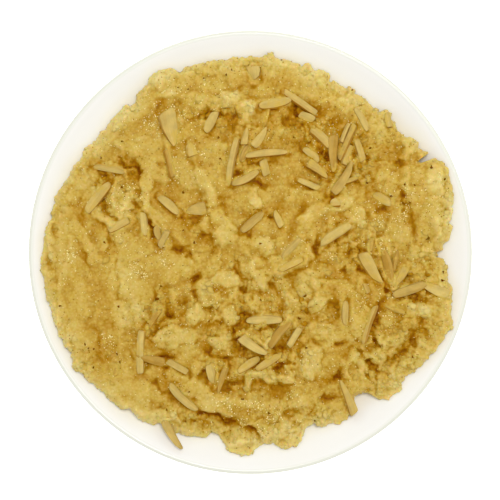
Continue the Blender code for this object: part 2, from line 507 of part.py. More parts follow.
def make_halwa(collection):
    """The heap with its almonds fused on, one closed body."""
    halwa = make_core(collection)
    almonds = new_collection("almonds")
    core_tree = BVHTree.FromPolygons([vertex.co for vertex in halwa.data.vertices],
                                     [tuple(face.vertices) for face in halwa.data.polygons])
    chance = random.Random(ALMOND_SEED)
    for index, row in enumerate(ALMONDS):
        make_almond(f"almond_{index:02d}", row, core_tree, chance, almonds)
    union = halwa.modifiers.new("almonds fused", "BOOLEAN")
    union.operation = "UNION"
    union.operand_type = "COLLECTION"
    union.collection = almonds
    union.solver = "MANIFOLD"
    with bpy.context.temp_override(object=halwa, active_object=halwa, selected_objects=[halwa]):
        bpy.ops.object.modifier_apply(modifier=union.name)
    for almond in list(almonds.objects):
        bpy.data.objects.remove(almond, do_unlink=True)
    bpy.data.collections.remove(almonds)
    keep_main_body(halwa.data)
    halwa.data.materials.clear()
    halwa.data.materials.append(finish_material("semolina halwa", SEMOLINA))
    halwa.data.shade_smooth()
    halwa.data.set_sharp_from_angle(angle=math.radians(50))
    return halwa


def main():
    clear_scene()
    collection = new_collection("suji halwa")
    make_dish(collection)
    make_halwa(collection)


main()
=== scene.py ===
"""The looks of a dish of suji halwa: white glazed porcelain, a moist heap of roasted semolina,
slivered almonds, crumbs, swollen grains and flecks of cardamom, all on a pale floor in soft light.
"""
import math
import random

import bpy
import numpy as np
from bpy.props import FloatProperty, FloatVectorProperty, IntProperty, PointerProperty
from mathutils import Matrix, Vector, noise
from mathutils.bvhtree import BVHTree


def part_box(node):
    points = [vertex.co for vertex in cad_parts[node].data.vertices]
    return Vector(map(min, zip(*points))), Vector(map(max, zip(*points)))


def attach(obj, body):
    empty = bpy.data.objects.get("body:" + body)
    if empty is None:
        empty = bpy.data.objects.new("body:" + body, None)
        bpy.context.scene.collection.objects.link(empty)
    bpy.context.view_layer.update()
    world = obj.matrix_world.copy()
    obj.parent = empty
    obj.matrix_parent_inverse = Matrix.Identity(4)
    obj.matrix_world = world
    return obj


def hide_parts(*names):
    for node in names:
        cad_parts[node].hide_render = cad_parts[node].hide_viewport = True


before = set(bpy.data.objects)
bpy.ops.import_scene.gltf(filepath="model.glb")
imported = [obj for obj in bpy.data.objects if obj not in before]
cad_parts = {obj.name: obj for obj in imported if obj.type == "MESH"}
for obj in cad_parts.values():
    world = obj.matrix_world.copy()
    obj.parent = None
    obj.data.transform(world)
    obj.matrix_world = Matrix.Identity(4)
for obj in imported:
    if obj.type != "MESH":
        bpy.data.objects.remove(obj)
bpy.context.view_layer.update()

bl_info = {
    "name": "Suji halwa dish",
    "version": (1, 0, 0),
    "blender": (4, 5, 0),
    "location": "View3D > Sidebar > Halwa",
    "description": "Dresses a dish of suji halwa with slivered almonds",
    "category": "Object",
}

BODY = "root"
MM = 0.001

# The dish's box gives its size, and the rest of its section is in real sizes
DISH_RADIUS = (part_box("dish")[1].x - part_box("dish")[0].x) / 2
DISH_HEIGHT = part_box("dish")[1].z
BASE_THICKNESS = 4.4 * MM
LIP_THICKNESS = 3.0 * MM
FOOT_HEIGHT = 2.6 * MM
FOOT_OUTER = 56 * MM
FOOT_INNER = 50 * MM
FOOT_ROUND = 0.8 * MM
WELL_RADIUS = 56 * MM
WALL_CURVE = 1.7
# Between these distances from the axis the lip is painted darker: painted shade on the lip
LIP_SHADE_RADII = DISH_RADIUS - 2.8 * MM, DISH_RADIUS - 1.4 * MM

# The heap: its dome, its broken edge and how it lies on the dish
GAP = 0.5 * MM
CROWN_HEIGHT = 34 * MM
CROWN_CURVE = 2.6
EDGE_DEPTH = 4.6 * MM
LEAST_DEPTH = 3.6 * MM
EDGE_ROUND = 3.4 * MM
# Shares of a crack's and a pit's depth that are cut into the face; the rest is painted shade in their tone
CRACK_SHARE = 0.5
PIT_SHARE = 0.45

# Broad radius of the heap, in mm, at each step round from +X
EDGE_STEP_DEG = 20
EDGE_RADII = [
    92, 100.6, 92.9, 91.1, 93.6, 93.2, 94, 91.5, 94.6, 98.6, 98.6, 98.1, 94.6, 91.2, 92, 90.6, 95, 100.5,
]
# Tongues and notches of the edge: degrees from +X, mm out or in, half width in degrees
EDGE_BREAKS = [
    (5.5, 2.4, 2.6), (12, 0.8, 3), (23.6, 1.6, 1.8), (28.1, -6.8, 0.8), (30.6, -1.8, 1.8),
    (38.5, -1.8, 2.4), (45.5, 2.8, 1.6), (58.3, 1.4, 1.3), (65, -1.8, 0.6), (67.6, 1.9, 2.1),
    (73, 1.6, 1.2), (84.5, 1.2, 1.5), (111.2, -1.4, 1), (116.9, 2.4, 4.5), (128, -2.2, 1.8),
    (147.5, 1, 2), (163, 1, 2.6), (184, 0.9, 2), (208.5, -1.4, 1.3), (213.3, 1.4, 1.8), (222, -0.8, 4.5),
    (233.5, -1.6, 2), (242.5, -1.8, 1.5), (259, -2.6, 2), (267, 5, 4.4), (272.4, 1, 1.4),
    (280.8, 2.8, 3.6), (284.2, 1.4, 1.4), (289.2, -3.4, 2.6), (299, 1.6, 3), (307.4, -6, 3),
    (312.2, 1.2, 1.3), (315.6, 2.8, 3.2), (340, 0.9, 2), (349, 1, 2.4), (355, 1, 2.6), (359.3, -3.2, 1),
]
# Fine teeth of the edge: width and height in mm
EDGE_TEETH = [(6, 0.45), (3, 0.7), (1.5, 0.6)]
# Tilted pieces that the heap breaks into: width and rise in mm, least share on pressed places
CHUNKS = [(15, 2.4, 0.5), (8.5, 1.8, 0.3), (5, 0.9, 0.16)]
CHUNK_STEP = 13
# Round lumps on the pieces: width and rise in mm, least share on pressed places
CLODS = [(4.6, 1.1, 0.18), (2.6, 0.5, 0.3)]
# Broad waves of the pressed heap: width and rise in mm
WAVES = [(24, 1.3), (11, 1.2), (5.5, 0.6)]
MOAT_DEPTH = 0.8 * MM
SUMMIT = 34.4 * MM
SUMMIT_SOFTNESS = 2.0 * MM
STROKE_RING = 75 * MM
STROKE_LENGTH = 2.4
# Half the width of the field of random pieces, and the relief of crumbs and grain
CELL_FIELD = 0.12
CRUMB_RELIEF = -0.4 * MM
GRAIN_RELIEF = 0.16 * MM

# Lumps: x, y, half length, half width, turn in degrees, height; lengths in mm
LUMPS = [
    (-1.6, 66.2, 6, 4.6, 85, 2.4), (-11.8, 70.8, 7.4, 4.4, 10, 1.2), (-12.5, 8, 5.6, 4.6, 0, 1.8),
    (-11, -12.5, 6.6, 4.4, 0, 1.6), (1.9, 24.5, 3.6, 3, 90, 1.4), (-36, -39.5, 9.6, 4.6, 5, 1.8),
    (-26, -29, 4.6, 3.6, 90, 1.7), (-9.4, -30.6, 4.6, 4, 90, 1.6), (-14.5, -42, 5.6, 3.4, 0, 1.6),
    (28, -15, 7.6, 6.4, 60, 1.8), (31, -24, 4.6, 3.4, 30, 1.2), (28.4, -51.8, 8.4, 4.8, 90, 1.8),
    (79, -27, 6.4, 3.8, 10, 2.2), (7.1, 3.2, 4.4, 4, 0, 1.4), (4.6, -14.3, 4, 3.6, 90, 1.4),
    (1.9, -4.8, 4, 3.6, 0, 1.2), (-7.4, -88.6, 6.4, 5.4, 20, 1.2), (1.6, -89.6, 4.6, 4.6, 0, 1),
    (-42.5, 82, 7.4, 4.4, 25, 1.6), (75.7, 50.5, 5.6, 4.6, 45, 1.4), (87.5, 34.3, 5.6, 7, 0, 1.6),
    (26, -68, 8, 6, 30, 1.2), (-25, 70, 7, 5, 40, 1.2), (52, -32, 6, 4, 60, 1.2),
    (-60, 25, 8, 4.6, 80, 1.2), (50, 18, 5, 3.4, 120, 1.2), (-19, -54, 3.4, 3, 0, 1.2),
    (52, -52, 7, 3, 125, 1.4),
]
# Ridges and raised runs: height, half width, then the points of the run; mm
RIDGES = [
    (2, 2.2, [(-1.8, -62), (0, -56.8), (10, -58.5), (18.5, -60)]),
    (1.6, 3.2, [(-22.5, 36), (-17.5, 24), (-12, 10)]), (1.6, 4, [(4, -8), (14, -5), (25, 0)]),
    (1.4, 5, [(-20, -70), (-4, -74), (10, -75)]), (1.4, 3.4, [(-38, -57), (-30, -62), (-20, -67)]),
    (1.2, 3, [(61, -49), (69, -40), (76, -33)]), (1.6, 5, [(78, -8), (84, 6), (86, 22)]),
    (1, 2.6, [(24, 15), (34, 21), (46, 24)]), (1, 3, [(-83, 14), (-78, 6), (-73, -2)]),
    (1.3, 2.4, [(-74, 19.5), (-71.5, 17.5), (-68, 14.5), (-65, 13.5)]),
]
# Ledges: step in mm, then the run of the broken edge, with the higher side on its left
LEDGES = [
    (2, [(-61.9, 50.5), (-52, 41), (-51.5, 26.9), (-53.4, 23.1), (-47.2, 14.1), (-42.5, 2.3)]),
    (3, [(-21.2, -75.7), (-13.2, -78.5), (-8.5, -80.4), (-2.3, -85.2), (1, -84.2), (5.7, -89.9)]),
    (1, [(66.2, -51.1), (74.7, -42.6), (82.8, -32.2)]), (1.8, [(7, -14.5), (16, -11.5), (24, -7.5)]),
    (0.8, [(10, -62.4), (20, -62.6), (33, -65)]),
    (2, [(-24, 8.4), (-19.8, 7.8), (-15.5, 2.6), (-8, 3.8)]),
]
LEDGE_REACH = 11 * MM
LEDGE_SOFTNESS = 1.1 * MM
LEDGE_FADE = 3.5 * MM
# Cracks: depth, half width, then the points of the run; mm
CRACKS = [
    (2.2, 0.9, [(-61.9, 44.8), (-59, 40.1), (-50.5, 37.7), (-51.5, 26.9)]),
    (2.6, 1.2, [(-50.5, 18.8), (-47.2, 14.1), (-44.9, 8), (-41.1, 3.2)]),
    (2.4, 1.1, [(-6.1, -4.8), (-2.8, -13.3), (-3.3, -18)]), (1.6, 1.3, [(-62.8, -4.8), (-62.8, -21.8)]),
    (2.6, 1.1, [(57.7, -42.1), (61.5, -44)]), (2.4, 1.1, [(56.8, -51.1), (60.6, -55.8)]),
    (0.7, 1.6, [(82.8, -32.6), (74.7, -43.2), (66.2, -51.7)]),
    (3, 1.2, [(-21.2, -76.3), (-13.2, -79.1), (-8.5, -81), (-2.3, -85.8), (1, -84.8), (5.7, -90.5)]),
    (1.8, 1.6, [(71.9, 24.5), (76.6, 11.3)]), (2.4, 1.1, [(-9, -37.5), (-5, -43.5), (5, -48)]),
    (1.2, 1.2, [(-66, 9), (-68, 2), (-66.5, -4)]),
]
# Pits and shaded hollows: x, y, half length, half width, turn in degrees, depth; lengths in mm
PITS = [
    (20.5, 66.5, 4.6, 3.8, 100, 4.6), (-11, 62.2, 4.6, 3.2, 90, 1.4), (-7.4, 60.4, 1.8, 1.6, 0, 1.6),
    (-20.8, 56.4, 2, 1.3, 0, 2.2), (35, 46.5, 4.4, 2.4, 115, 2.2), (36.8, 26.5, 4, 2.2, 100, 2.2),
    (48.5, 46, 2.6, 1.9, 90, 4.2), (32.5, 67, 2.6, 1.4, 90, 1.2), (26.5, 59, 3, 1.2, 120, 1.2),
    (2.5, 43, 3.4, 1.6, 0, 2.2), (10, 43, 2.4, 1.4, 0, 1.8), (-5.8, 36.5, 3.6, 1.7, 75, 3.8),
    (3, 31.4, 4.6, 1.9, 10, 4.6), (-38.5, 53, 4.5, 1.4, 130, 2.2), (-68, 37, 4.8, 2.8, 10, 1.7),
    (-56.5, 40.4, 6, 1.9, 175, 1.3), (-51.3, 37.6, 2.2, 1.9, 90, 4.8), (-68.6, 22.8, 4.2, 2.2, 60, 1.2),
    (-52, 21.5, 2.4, 1.6, 0, 1.8), (-82, 25, 5, 1.6, 60, 1.2), (-70, 12.5, 7, 1.8, 128, 1.2),
    (-66, 3.5, 4.5, 1.8, 110, 1.6), (-78, -2, 6.5, 2, 125, 1.5), (-46.2, 11.8, 6.4, 1.9, 108, 3.2),
    (-34, 3.2, 4.6, 2.8, 160, 4.8), (-28.5, -2, 4.2, 1.6, 115, 3.2), (-26, -12.6, 3.2, 2.3, 90, 6),
    (-25.6, -20.3, 2.8, 2, 90, 3.8), (-21, 8.3, 3.2, 1.9, 160, 2.6), (-26, 16, 6, 1.6, 165, 1.4),
    (-1.2, 8.8, 2.8, 1.8, 30, 2.6), (-6, -8, 3, 1.5, 110, 2.2), (-3.2, -17, 3, 1.5, 90, 1.8),
    (16.5, -10.8, 8, 1.7, 22, 2.2), (12.5, 15, 3.4, 1.7, 110, 3.6), (30.2, 2, 5.2, 3.4, 90, 4.4),
    (47.5, -1, 3.6, 2.8, 20, 3.2), (44.2, -9, 2.2, 1.7, 90, 2.2), (52, -7.6, 5, 2.1, 130, 4.2),
    (64, -15, 5, 1.7, 120, 4.4), (73, -20, 8, 1.7, 8, 3.6), (63, -23.5, 3.4, 2, 30, 2.4),
    (39.8, -24.5, 6.4, 2.6, 105, 2.6), (60.3, -33, 3.4, 2.2, 80, 2.6), (58, -42.5, 3, 2.1, 120, 4.4),
    (72.5, -46, 9.5, 2.6, 47, 1), (42, -43, 2.8, 1.9, 0, 4.4), (64, -57, 3, 1.4, 120, 0.7),
    (71.5, 27, 3, 2.4, 110, 4.6), (75, 17, 6, 1.6, 105, 1), (71.5, 41, 5, 2, 5, 3.2),
    (60.8, 21.5, 3.6, 1.8, 130, 2.6), (83, 6, 2.6, 1.8, 0, 0.8), (-0.8, -29.6, 3.2, 2, 10, 3.2),
    (8, -35.6, 5, 1.8, 5, 2.8), (12.5, -45.5, 4, 2.6, 10, 3.9), (-3.5, -45.5, 6, 2.8, 135, 2.8),
    (4, -49.8, 4.4, 2, 0, 2.6), (-19.5, -46.5, 3.6, 2.4, 165, 3), (-12.5, -49, 3, 1.5, 10, 2.4),
    (-17.5, -34.5, 4, 1.7, 0, 2.2), (14, -52.8, 4.2, 2.2, 10, 5), (-6, -60.5, 5.4, 2.2, 0, 2.8),
    (-20.5, -57.5, 4, 2.6, 90, 2.7), (3.5, -61.5, 3.6, 1.7, 0, 1.4), (14.5, -64.5, 5.6, 1.7, 170, 0.7),
    (42, -58.5, 4, 3.8, 60, 4.5), (37.5, -69, 5.6, 2.2, 5, 3.5), (28, -75, 3, 2.4, 90, 4),
    (-40, -49.6, 6.4, 2.2, 5, 3.4), (-48.5, -53, 2.4, 2, 90, 2.2), (-40, -32, 3.4, 1.9, 55, 1.7),
    (-46, -39, 4.6, 1.5, 60, 1.3), (-34, -70, 8.6, 2.2, 140, 4.2), (-43, -63.5, 4, 1.6, 140, 1.8),
    (-13, -80, 5, 1.8, 155, 2.8), (0.5, -85, 3.4, 1.6, 0, 3.6), (-74, -35, 3, 2.4, 0, 2),
    (-70.5, -42, 5.4, 1.6, 110, 1.9), (-61, -36, 3, 2, 0, 0.4), (8, -26, 6, 4, 90, 0.3),
]
# Places where the heap crumbles: x, y, half length, half width, turn in degrees; lengths in mm
CRUMBLY = [
    (6, -40, 34, 30, 0), (66, -48, 26, 18, 50), (82, -16, 12, 24, 0), (40, 50, 34, 16, -30),
    (-12, 68, 18, 8, 0), (24, -80, 20, 10, 0), (-30, -82, 24, 8, -15), (-44, -30, 16, 12, 0),
    (-62, 30, 12, 16, 0), (50, 2, 18, 14, 0),
]
# Lumps painted lighter, painted light where the light comes back brightest: x, y, half length, half width,
# turn; mm
LIT_LUMPS = [
    (-1.6, 66.2, 5.8, 4.4, 85), (-11.8, 71, 7, 4.6, 10), (-12.5, 8, 5.4, 4.6, 0),
    (-11, -12.5, 5.6, 3.2, 0), (1.9, 24.5, 3.6, 3.2, 90), (-36, -39.5, 9.6, 4.6, 5),
    (-26, -29, 4.6, 3.4, 90), (-9.4, -30.6, 4.6, 3.8, 90), (-14.5, -42, 5.6, 3, 0),
    (28.4, -14.5, 8, 6.6, 60), (31, -24, 4.6, 3.4, 30), (28.4, -51.8, 8.4, 4.6, 90),
    (79, -27, 6.4, 3.8, 10), (7.1, 3.2, 4.4, 3.6, 0), (4.6, -14.3, 4, 3.6, 90), (2, -4, 3.6, 3, 0),
    (-7, -88.8, 6.4, 5, 15), (1.6, -89.8, 4.4, 4.2, 0), (-42.5, 82, 7, 4, 25), (75.7, 50.5, 4.6, 3.6, 45),
    (87, 32, 4, 7, 0), (-4, -70.5, 10, 2.6, 5), (20, -86, 8, 4, 0), (93.5, 20, 2.6, 7, 0),
    (-17.6, 23, 10, 2.2, 111), (-86, 4, 6, 14, 0), (62, 56, 8, 4, 130), (48, 72, 8, 3, 150),
    (-58, -13, 9, 6, 150), (-54, -27, 6.6, 5.4, 0), (-60, 25, 8, 4.4, 80), (-30, 34, 5, 4, 0),
    (41, 22, 6, 2.8, 20), (51, 17, 4.4, 2.8, 120), (27, 18, 4.6, 1.8, 30), (-20, -68.5, 8, 2.4, 150),
    (64, -55, 7, 1.8, 125), (-76, 33, 6, 2.4, 60), (-71, 28, 5, 1.8, 45), (-69.5, 16.5, 5.5, 2.2, 140),
    (62, 35, 3, 2.6, 0), (49, -28, 5, 1.6, 75), (-38, 74, 3.6, 6, 0), (-56, 66, 9, 4, 35),
]

# Broad areas roasted a little deeper or lighter, some of them painted light on lumps and painted shade in
# pits: x, y, half length, half width, turn in degrees, change; mm
ROAST_LIGHT_AND_SHADE = [
    (30, 50, 34, 22, 160, -0.05), (62, -30, 20, 12, 90, -0.05), (-40, -62, 20, 8, 145, -0.05),
    (-32, -18, 12, 9, 0, 0.06), (84, 18, 24, 9, 90, 0.05), (83, -34, 10, 7, 45, 0.04),
    (3, -20, 9, 9, 0, 0.05), (-60, 55, 22, 8, 40, 0.04), (-8, 62, 18, 6, 0, -0.03),
    (-1.6, 66.2, 6, 4.6, 85, 0.16), (-11.8, 71, 7, 4.6, 10, 0.06), (41, 21.5, 6, 2.6, 20, 0.1),
    (-38, 74, 4, 6, 0, 0.08), (-54, -27, 7, 6, 0, 0.1), (29.5, -18, 8, 9, 60, 0.04),
    (36.9, -63.4, 6, 5, 0, -0.1), (79, -27, 6, 4, 0, 0.08), (-71, 28, 6, 3, 45, 0.1),
    (0.5, -85, 3.6, 2, 0, -0.1), (52, -7.6, 5, 2, 130, -0.06), (8, -26, 6, 4, 90, 0.08),
]

# Painted shade and light that follow the relief, darker in hollows and lighter on rises: cells to each side,
# rise in mm that counts, share
SHADES = [(1, 0.25, 0.08), (3, 0.8, 0.085), (6, 1.5, 0.095), (12, 3, 0.14)]
RISE_SHARE = 0.6
# What each influence adds to the tone, which goes from 0 in the depths to 1 on the palest lumps; the low end
# carries painted shade and the high end painted light
TONE_LEVEL = 0.475
TONE_LUMP_LIGHT = 0.1
TONE_RIM_LIGHT = 0.13
TONE_CLIFF_LIGHT = 0.12
TONE_PAINTED_SHADE = 0.13
# Streaks of tone along the spoon's strokes: width in mm, layer of the noise, share
STREAKS = [(5, 6.4, 0.06), (12, 17.3, 0.1)]

# Slivered almonds: shape, wide or left end x and y, other end x and y, seen width, lift of each end; mm
ALMONDS = [
    ("drop", -39.6, 66.8, -36, 50, 9, 1.2, 0.5), ("bar", -39.6, 48.4, -36.4, 35.8, 2.8, 0.7, 0.7),
    ("leaf", -74, 40.6, -59.5, 38, 2.7, 0.9, 0.9), ("leaf", -16, 66.1, -20.8, 56.2, 4.3, 0.9, 0.9),
    ("bar", -6.1, 53.8, -10.4, 32.1, 3, 1.4, 1), ("wedge", -3.1, 50.4, -1.3, 58.6, 3.2, 0.8, 0.8),
    ("drop", 1.4, 49.5, 7.5, 58.6, 4.6, 1, 1), ("leaf", -2.2, 45.2, 17.3, 47.1, 3.3, 1.6, 1.4),
    ("leaf", -1.2, 50.2, -4.4, 42.8, 3.2, 0.5, 0.5), ("bar", 5.7, 43.4, 7.6, 36.3, 4, 0.6, 0.6),
    ("leaf", -8.7, 31.9, 3.9, 37.9, 3.6, 1.6, 1.2), ("leaf", 4.2, 68.5, 19.2, 71.5, 4.6, 0.8, 0.8),
    ("bar", 15.9, 75.4, 31, 65.4, 3.4, 1.4, 1.4), ("leaf", 22.9, 65, 30, 62.4, 4.4, 0.5, 0.5),
    ("leaf", 28.6, 58.2, 37.2, 49.8, 4.7, 1, 1), ("leaf", 25.1, 49.1, 32.2, 42.9, 3.5, 0.8, 0.8),
    ("wedge", 27, 42, 36, 35.4, 4.3, 1.4, 1), ("bar", 32.4, 30, 22.5, 34.2, 2.9, 0.8, 0.8),
    ("wedge", 39.8, 55.2, 39.2, 37.9, 5.3, 1.6, 1.2), ("bar", 49.3, 60.4, 42.2, 43.6, 2.5, 1.2, 1),
    ("bar", 46.8, 61, 43, 51.8, 2.1, 0.6, 0.6), ("bar", 47.4, 50.4, 43.8, 41.2, 2.7, 0.8, 0.8),
    ("bar", 50.2, 53, 53.2, 43, 3.2, 0.7, 0.7), ("leaf", 49.6, 68.2, 55.2, 57.6, 3.2, 0.8, 0.8),
    ("bar", 64.6, 66.2, 66, 59.2, 3, 0.6, 0.6), ("drop", 38.8, 27.8, 47.6, 43, 4.6, 1.3, 1.1),
    ("leaf", 50.6, 34.9, 42.6, 32.1, 2.4, 0.6, 0.6), ("leaf", 58, 27.4, 65.8, 23.2, 4.2, 0.7, 0.5),
    ("leaf", 47.2, 12.7, 33, 3.4, 4.9, 0.8, 0.8), ("leaf", 23.2, 6.5, 14.7, -2.4, 2.8, 1, 0.8),
    ("sunk", 24.4, -3.3, 13.6, -8.4, 3.4, 0.5, 0.5), ("drop", 14.8, 11.9, 11.7, 19.7, 3.9, 1, 1),
    ("drop", 52.6, -0.4, 62, -14.2, 6.6, 2, 0.8), ("leaf", 62.4, 1.6, 66, -15, 4.4, 1.4, 0.8),
    ("leaf", 69.5, 0.9, 67.2, -8.6, 2.2, 0.8, 0.6), ("drop", 73.3, -7.2, 68.4, -15.6, 3.9, 0.8, 0.6),
    ("sunk", 57, 6.8, 56.6, 0.8, 2.6, 0.2, 0.2), ("leaf", 67.2, -20.5, 82.6, -15.1, 4.4, 1.4, 1.8),
    ("drop", 93, -19.5, 79.8, -14.9, 5.6, 1.6, 1.6), ("leaf", 58.7, -25.1, 53, -42.6, 2.8, 1.2, 1.2),
    ("sunk", 63.4, -24.7, 72.4, -28.4, 2, -0.1, -0.1), ("leaf", 44.6, -22.8, 44.2, -33.8, 3.2, 1.8, 1),
    ("bar", 23.5, -35.6, 18.2, -44.2, 3.3, 1.2, 1.2), ("leaf", 18.2, -32.6, 8.8, -44.4, 4.2, 0.9, 0.7),
    ("wedge", 49.3, -76.9, 42.4, -60.6, 4.4, 1.6, 1.2), ("leaf", -2, -31.9, 14.8, -31.6, 3.7, 2.2, 1.8),
    ("wedge", -4.6, -39.8, 7.8, -47.1, 4.9, 2, 1.4), ("leaf", -5.6, -56.4, 4.3, -50.2, 3.8, 1.6, 1.2),
    ("leaf", 3, -55.5, 14.4, -48.6, 3.8, 1.4, 1.2), ("drop", -19, -52.4, -17.4, -61.3, 5, 1, 1),
    ("drop", -11.2, -54.2, -15.2, -66.7, 3.2, 1.2, 1), ("bar", -38.8, -50.9, -29.5, -56.2, 2.9, 1.2, 1.2),
    ("leaf", -37.8, -62, -25, -74.2, 3.6, 1.4, 1), ("drop", -40.2, -51.8, -53.6, -48.2, 4.6, 1.8, 2.6),
    ("bar", -51.3, -36.7, -52, -56.8, 3.7, 1.2, 1), ("leaf", -41.9, -27.2, -47.1, -34.9, 2.5, 0.5, 0.4),
    ("wedge", -41, -79, -32.1, -92.7, 4.2, -0.4, 1.4), ("leaf", -66.1, 32.1, -76.7, 18.6, 4.8, 0.6, 1),
    ("bar", -57.2, 15.2, -66.4, 10.1, 3.9, 0.6, 0.6), ("bar", -50.5, 18.8, -49.1, 8, 3.2, 2, 1.6),
    ("bar", -38.7, 9.9, -42.5, 2.8, 2.8, 2, 1.6), ("leaf", -44, 12.6, -42.6, 6.3, 3.2, 0.3, 0.3),
    ("leaf", -42.8, 26.3, -33.7, 18.1, 4.2, 0.9, 0.9), ("wedge", -20.8, 20.5, -30, 18.8, 6.2, 1.2, 0.5),
    ("leaf", 5.7, 18.8, -4.2, 9.9, 3.8, 1, 1.4), ("wedge", 1, 87.8, 1.9, 81.7, 6.5, 0.6, 0.2),
    ("chip", -27.2, 45.1, -27.8, 51.2, 5.7, 0.6, 0.4), ("bar", 53.4, -14.7, 55.2, -19, 2.6, 0.5, 0.5),
    ("leaf", 37.5, 23.1, 42.1, 23.1, 4, 0.5, 0.5), ("sunk", -63.8, -52, -63.3, -57.7, 2.6, 0.2, 0.2),
]
# Ends of each shape: least and most roundness of the taper, then of the width left at each tip
ALMOND_ENDS = {"leaf": (0.42, 0.7, 0.10, 0.30, 0.06, 0.28), "bar": (0.05, 0.2, 0.75, 0.95, 0.75, 0.95),
               "wedge": (0.1, 0.35, 0.5, 0.8, 0.4, 0.8), "drop": (0.42, 0.5, 0.34, 0.42, 0.12, 0.25),
               "chip": (0.25, 0.3, 0.9, 1.0, 0.1, 0.2), "sunk": (0.3, 0.6, 0.3, 0.6, 0.3, 0.6)}
# A sliver seen narrower than this lies on its edge; thickness lying flat and depth on the edge
ALMOND_EDGE_ON = 2.9 * MM
ALMOND_THICKNESS = 2.1 * MM
ALMOND_EDGE_DEPTH = 2.5 * MM
# How a sliver lies: what shows of its depth, how far it bites in and sinks, and its free ends
ALMOND_SHOWS = 0.7 * MM
ALMOND_BITE = 0.8 * MM
ALMOND_SETTLES = 0.2 * MM
ALMOND_END = 0.2
ALMOND_DISH_CLEARANCE = 0.8 * MM
ALMOND_FULLNESS = 1.06
# Rows of the slivers that stayed pale, and of those fried brown
ALMOND_PALE = {
    3, 4, 5, 6, 9, 11, 13, 15, 17, 22, 23, 24, 27, 28, 31, 32, 38, 39, 42, 44, 45, 46, 51, 52, 54, 56, 57,
    58, 59, 60, 62, 63, 65, 66, 68
}
ALMOND_BROWN = {18, 33, 34, 43, 53}
ALMOND_SEED = 7

# Flecks of cardamom that the photo shows: x, y, length; mm
FLECKS = [
    (-8.9, 86.4, 1), (-11.3, 84.1, 1), (-22.2, 82.2, 0.9), (-34, 77.9, 1), (-29.3, 77, 0.9),
    (14.7, 91.2, 1), (-0.9, 88.8, 0.9), (48.3, 77, 1.1), (20.4, 54.3, 1), (56.3, 49.1, 1.1),
    (54.9, 32.6, 1), (85.1, 40.1, 1.6), (72.4, 32.1, 1.3), (77.1, 31.6, 1), (66.2, 26.4, 1.2),
    (71.9, 23.1, 1.3), (74.7, 23.6, 1.1), (91.3, 34.4, 1.1), (83.7, 6.5, 1.7), (84.2, -2.9, 1),
    (91.3, -9.5, 1.3), (90.8, -13.3, 1.6), (76.6, -49.2, 1.2), (-14.1, 43.9, 1), (-15.1, 53.8, 1),
    (-60.5, 52.4, 1.2), (-70.9, 44.8, 1), (-31.6, 28.3, 1.1), (-31.6, 10.3, 1), (-26.4, 4.7, 1.2),
    (-43.4, -21.8, 2), (-42, -15.7, 1.1), (-68.5, 4.7, 1.2), (-89.3, -25.1, 1.2), (-61.9, -25.6, 1.1),
    (4.8, 4.2, 1.2), (4.8, -22.3, 1.2), (-19.3, -32.2, 1.1), (22.7, -30.8, 1.5), (26.5, -45, 1.1),
    (25.6, -20.4, 1.4), (-77.5, -43.1, 1.1), (-76.1, -45, 1), (-73.7, -45.5, 1), (-88.3, -41.2, 1),
    (-62.8, -47.8, 1.1), (-61.4, -51.6, 1), (-73.7, -54, 1.1), (-39.7, -74.3, 1.1), (-28.8, -65.3, 1),
    (-3.7, -69.1, 1.3), (-30.7, -80, 1), (8.6, -75.7, 1.2), (30.8, -80, 1.1), (-60.5, 30.7, 1.1),
]
LOOSE_FLECKS = 220
# Patches of painted glints, grains coloured bright where highlights would shine: x, y and reach in mm,
# clusters
PAINTED_GLINTS = [
    (-7, -72, 12, 26), (-28, 69, 12, 24), (-47, 65, 9, 16), (-52, -9, 14, 22), (80, 25, 12, 22),
    (9.5, -79.5, 11, 18), (61.5, 12.7, 12, 24), (-82.7, 1, 11, 14), (-59, 27, 11, 16), (32, 10, 12, 10),
    (-30, 34, 14, 12), (60, -26, 12, 14), (30, 62, 12, 10), (-66, -44, 12, 10), (20, -52, 12, 14),
    (-18, -24, 12, 10),
]
FLECK_SEED = 11

# Cells along the heap's square sheet, and the rings of its belly as shares of its edge
SHEET_CELLS = 284
BELLY_SHARES = (0.97, 0.92, 0.84, 0.72, 0.58, 0.42, 0.25, 0.1)
# Crumbs and grains scattered over the heap
CRUMB_COUNT = 1500
CRUMB_SEED = 23
GRAIN_COUNT = 5200
GRAIN_SEED = 31
GRAIN_LEAST_TONE = 0.3

# The stage: a soft window beyond the dish, light from the room, and a camera straight overhead
WINDOW_PLACE = (0.1, 0.22, 0.98)
WINDOW_SIZE = 0.3
WINDOW_POWER = 4.7
ROOM_LIGHT = 0.71
CAMERA_SHIFT = (-0.19 * MM, 1.11 * MM)
FLOOR_GAP = 0.5 * MM


def linear(code):
    """A colour given as an sRGB hex code, in the linear values that Blender mixes."""
    parts = [int(code[index:index + 2], 16) / 255 for index in (1, 3, 5)]
    return tuple(part / 12.92 if part <= 0.04045 else ((part + 0.055) / 1.055) ** 2.4 for part in parts)


def colour_setting(name, description, code):
    """A colour that a user would change, with its default as an sRGB hex code."""
    return FloatVectorProperty(name=name, description=description, subtype="COLOR", default=linear(code),
                               min=0, max=1)


class DishLook(bpy.types.PropertyGroup):
    """The porcelain dish."""
    segments: IntProperty(name="Segments", description="Facets round the dish", default=192, min=24)
    glaze: colour_setting("Glaze", "Colour of the glazed porcelain", "#F5F6F5")
    # The lip colour is painted shade: a darker, creamier white for the lip
    lip: colour_setting("Lip", "Thinner glaze on the lip", "#DFE0D3")


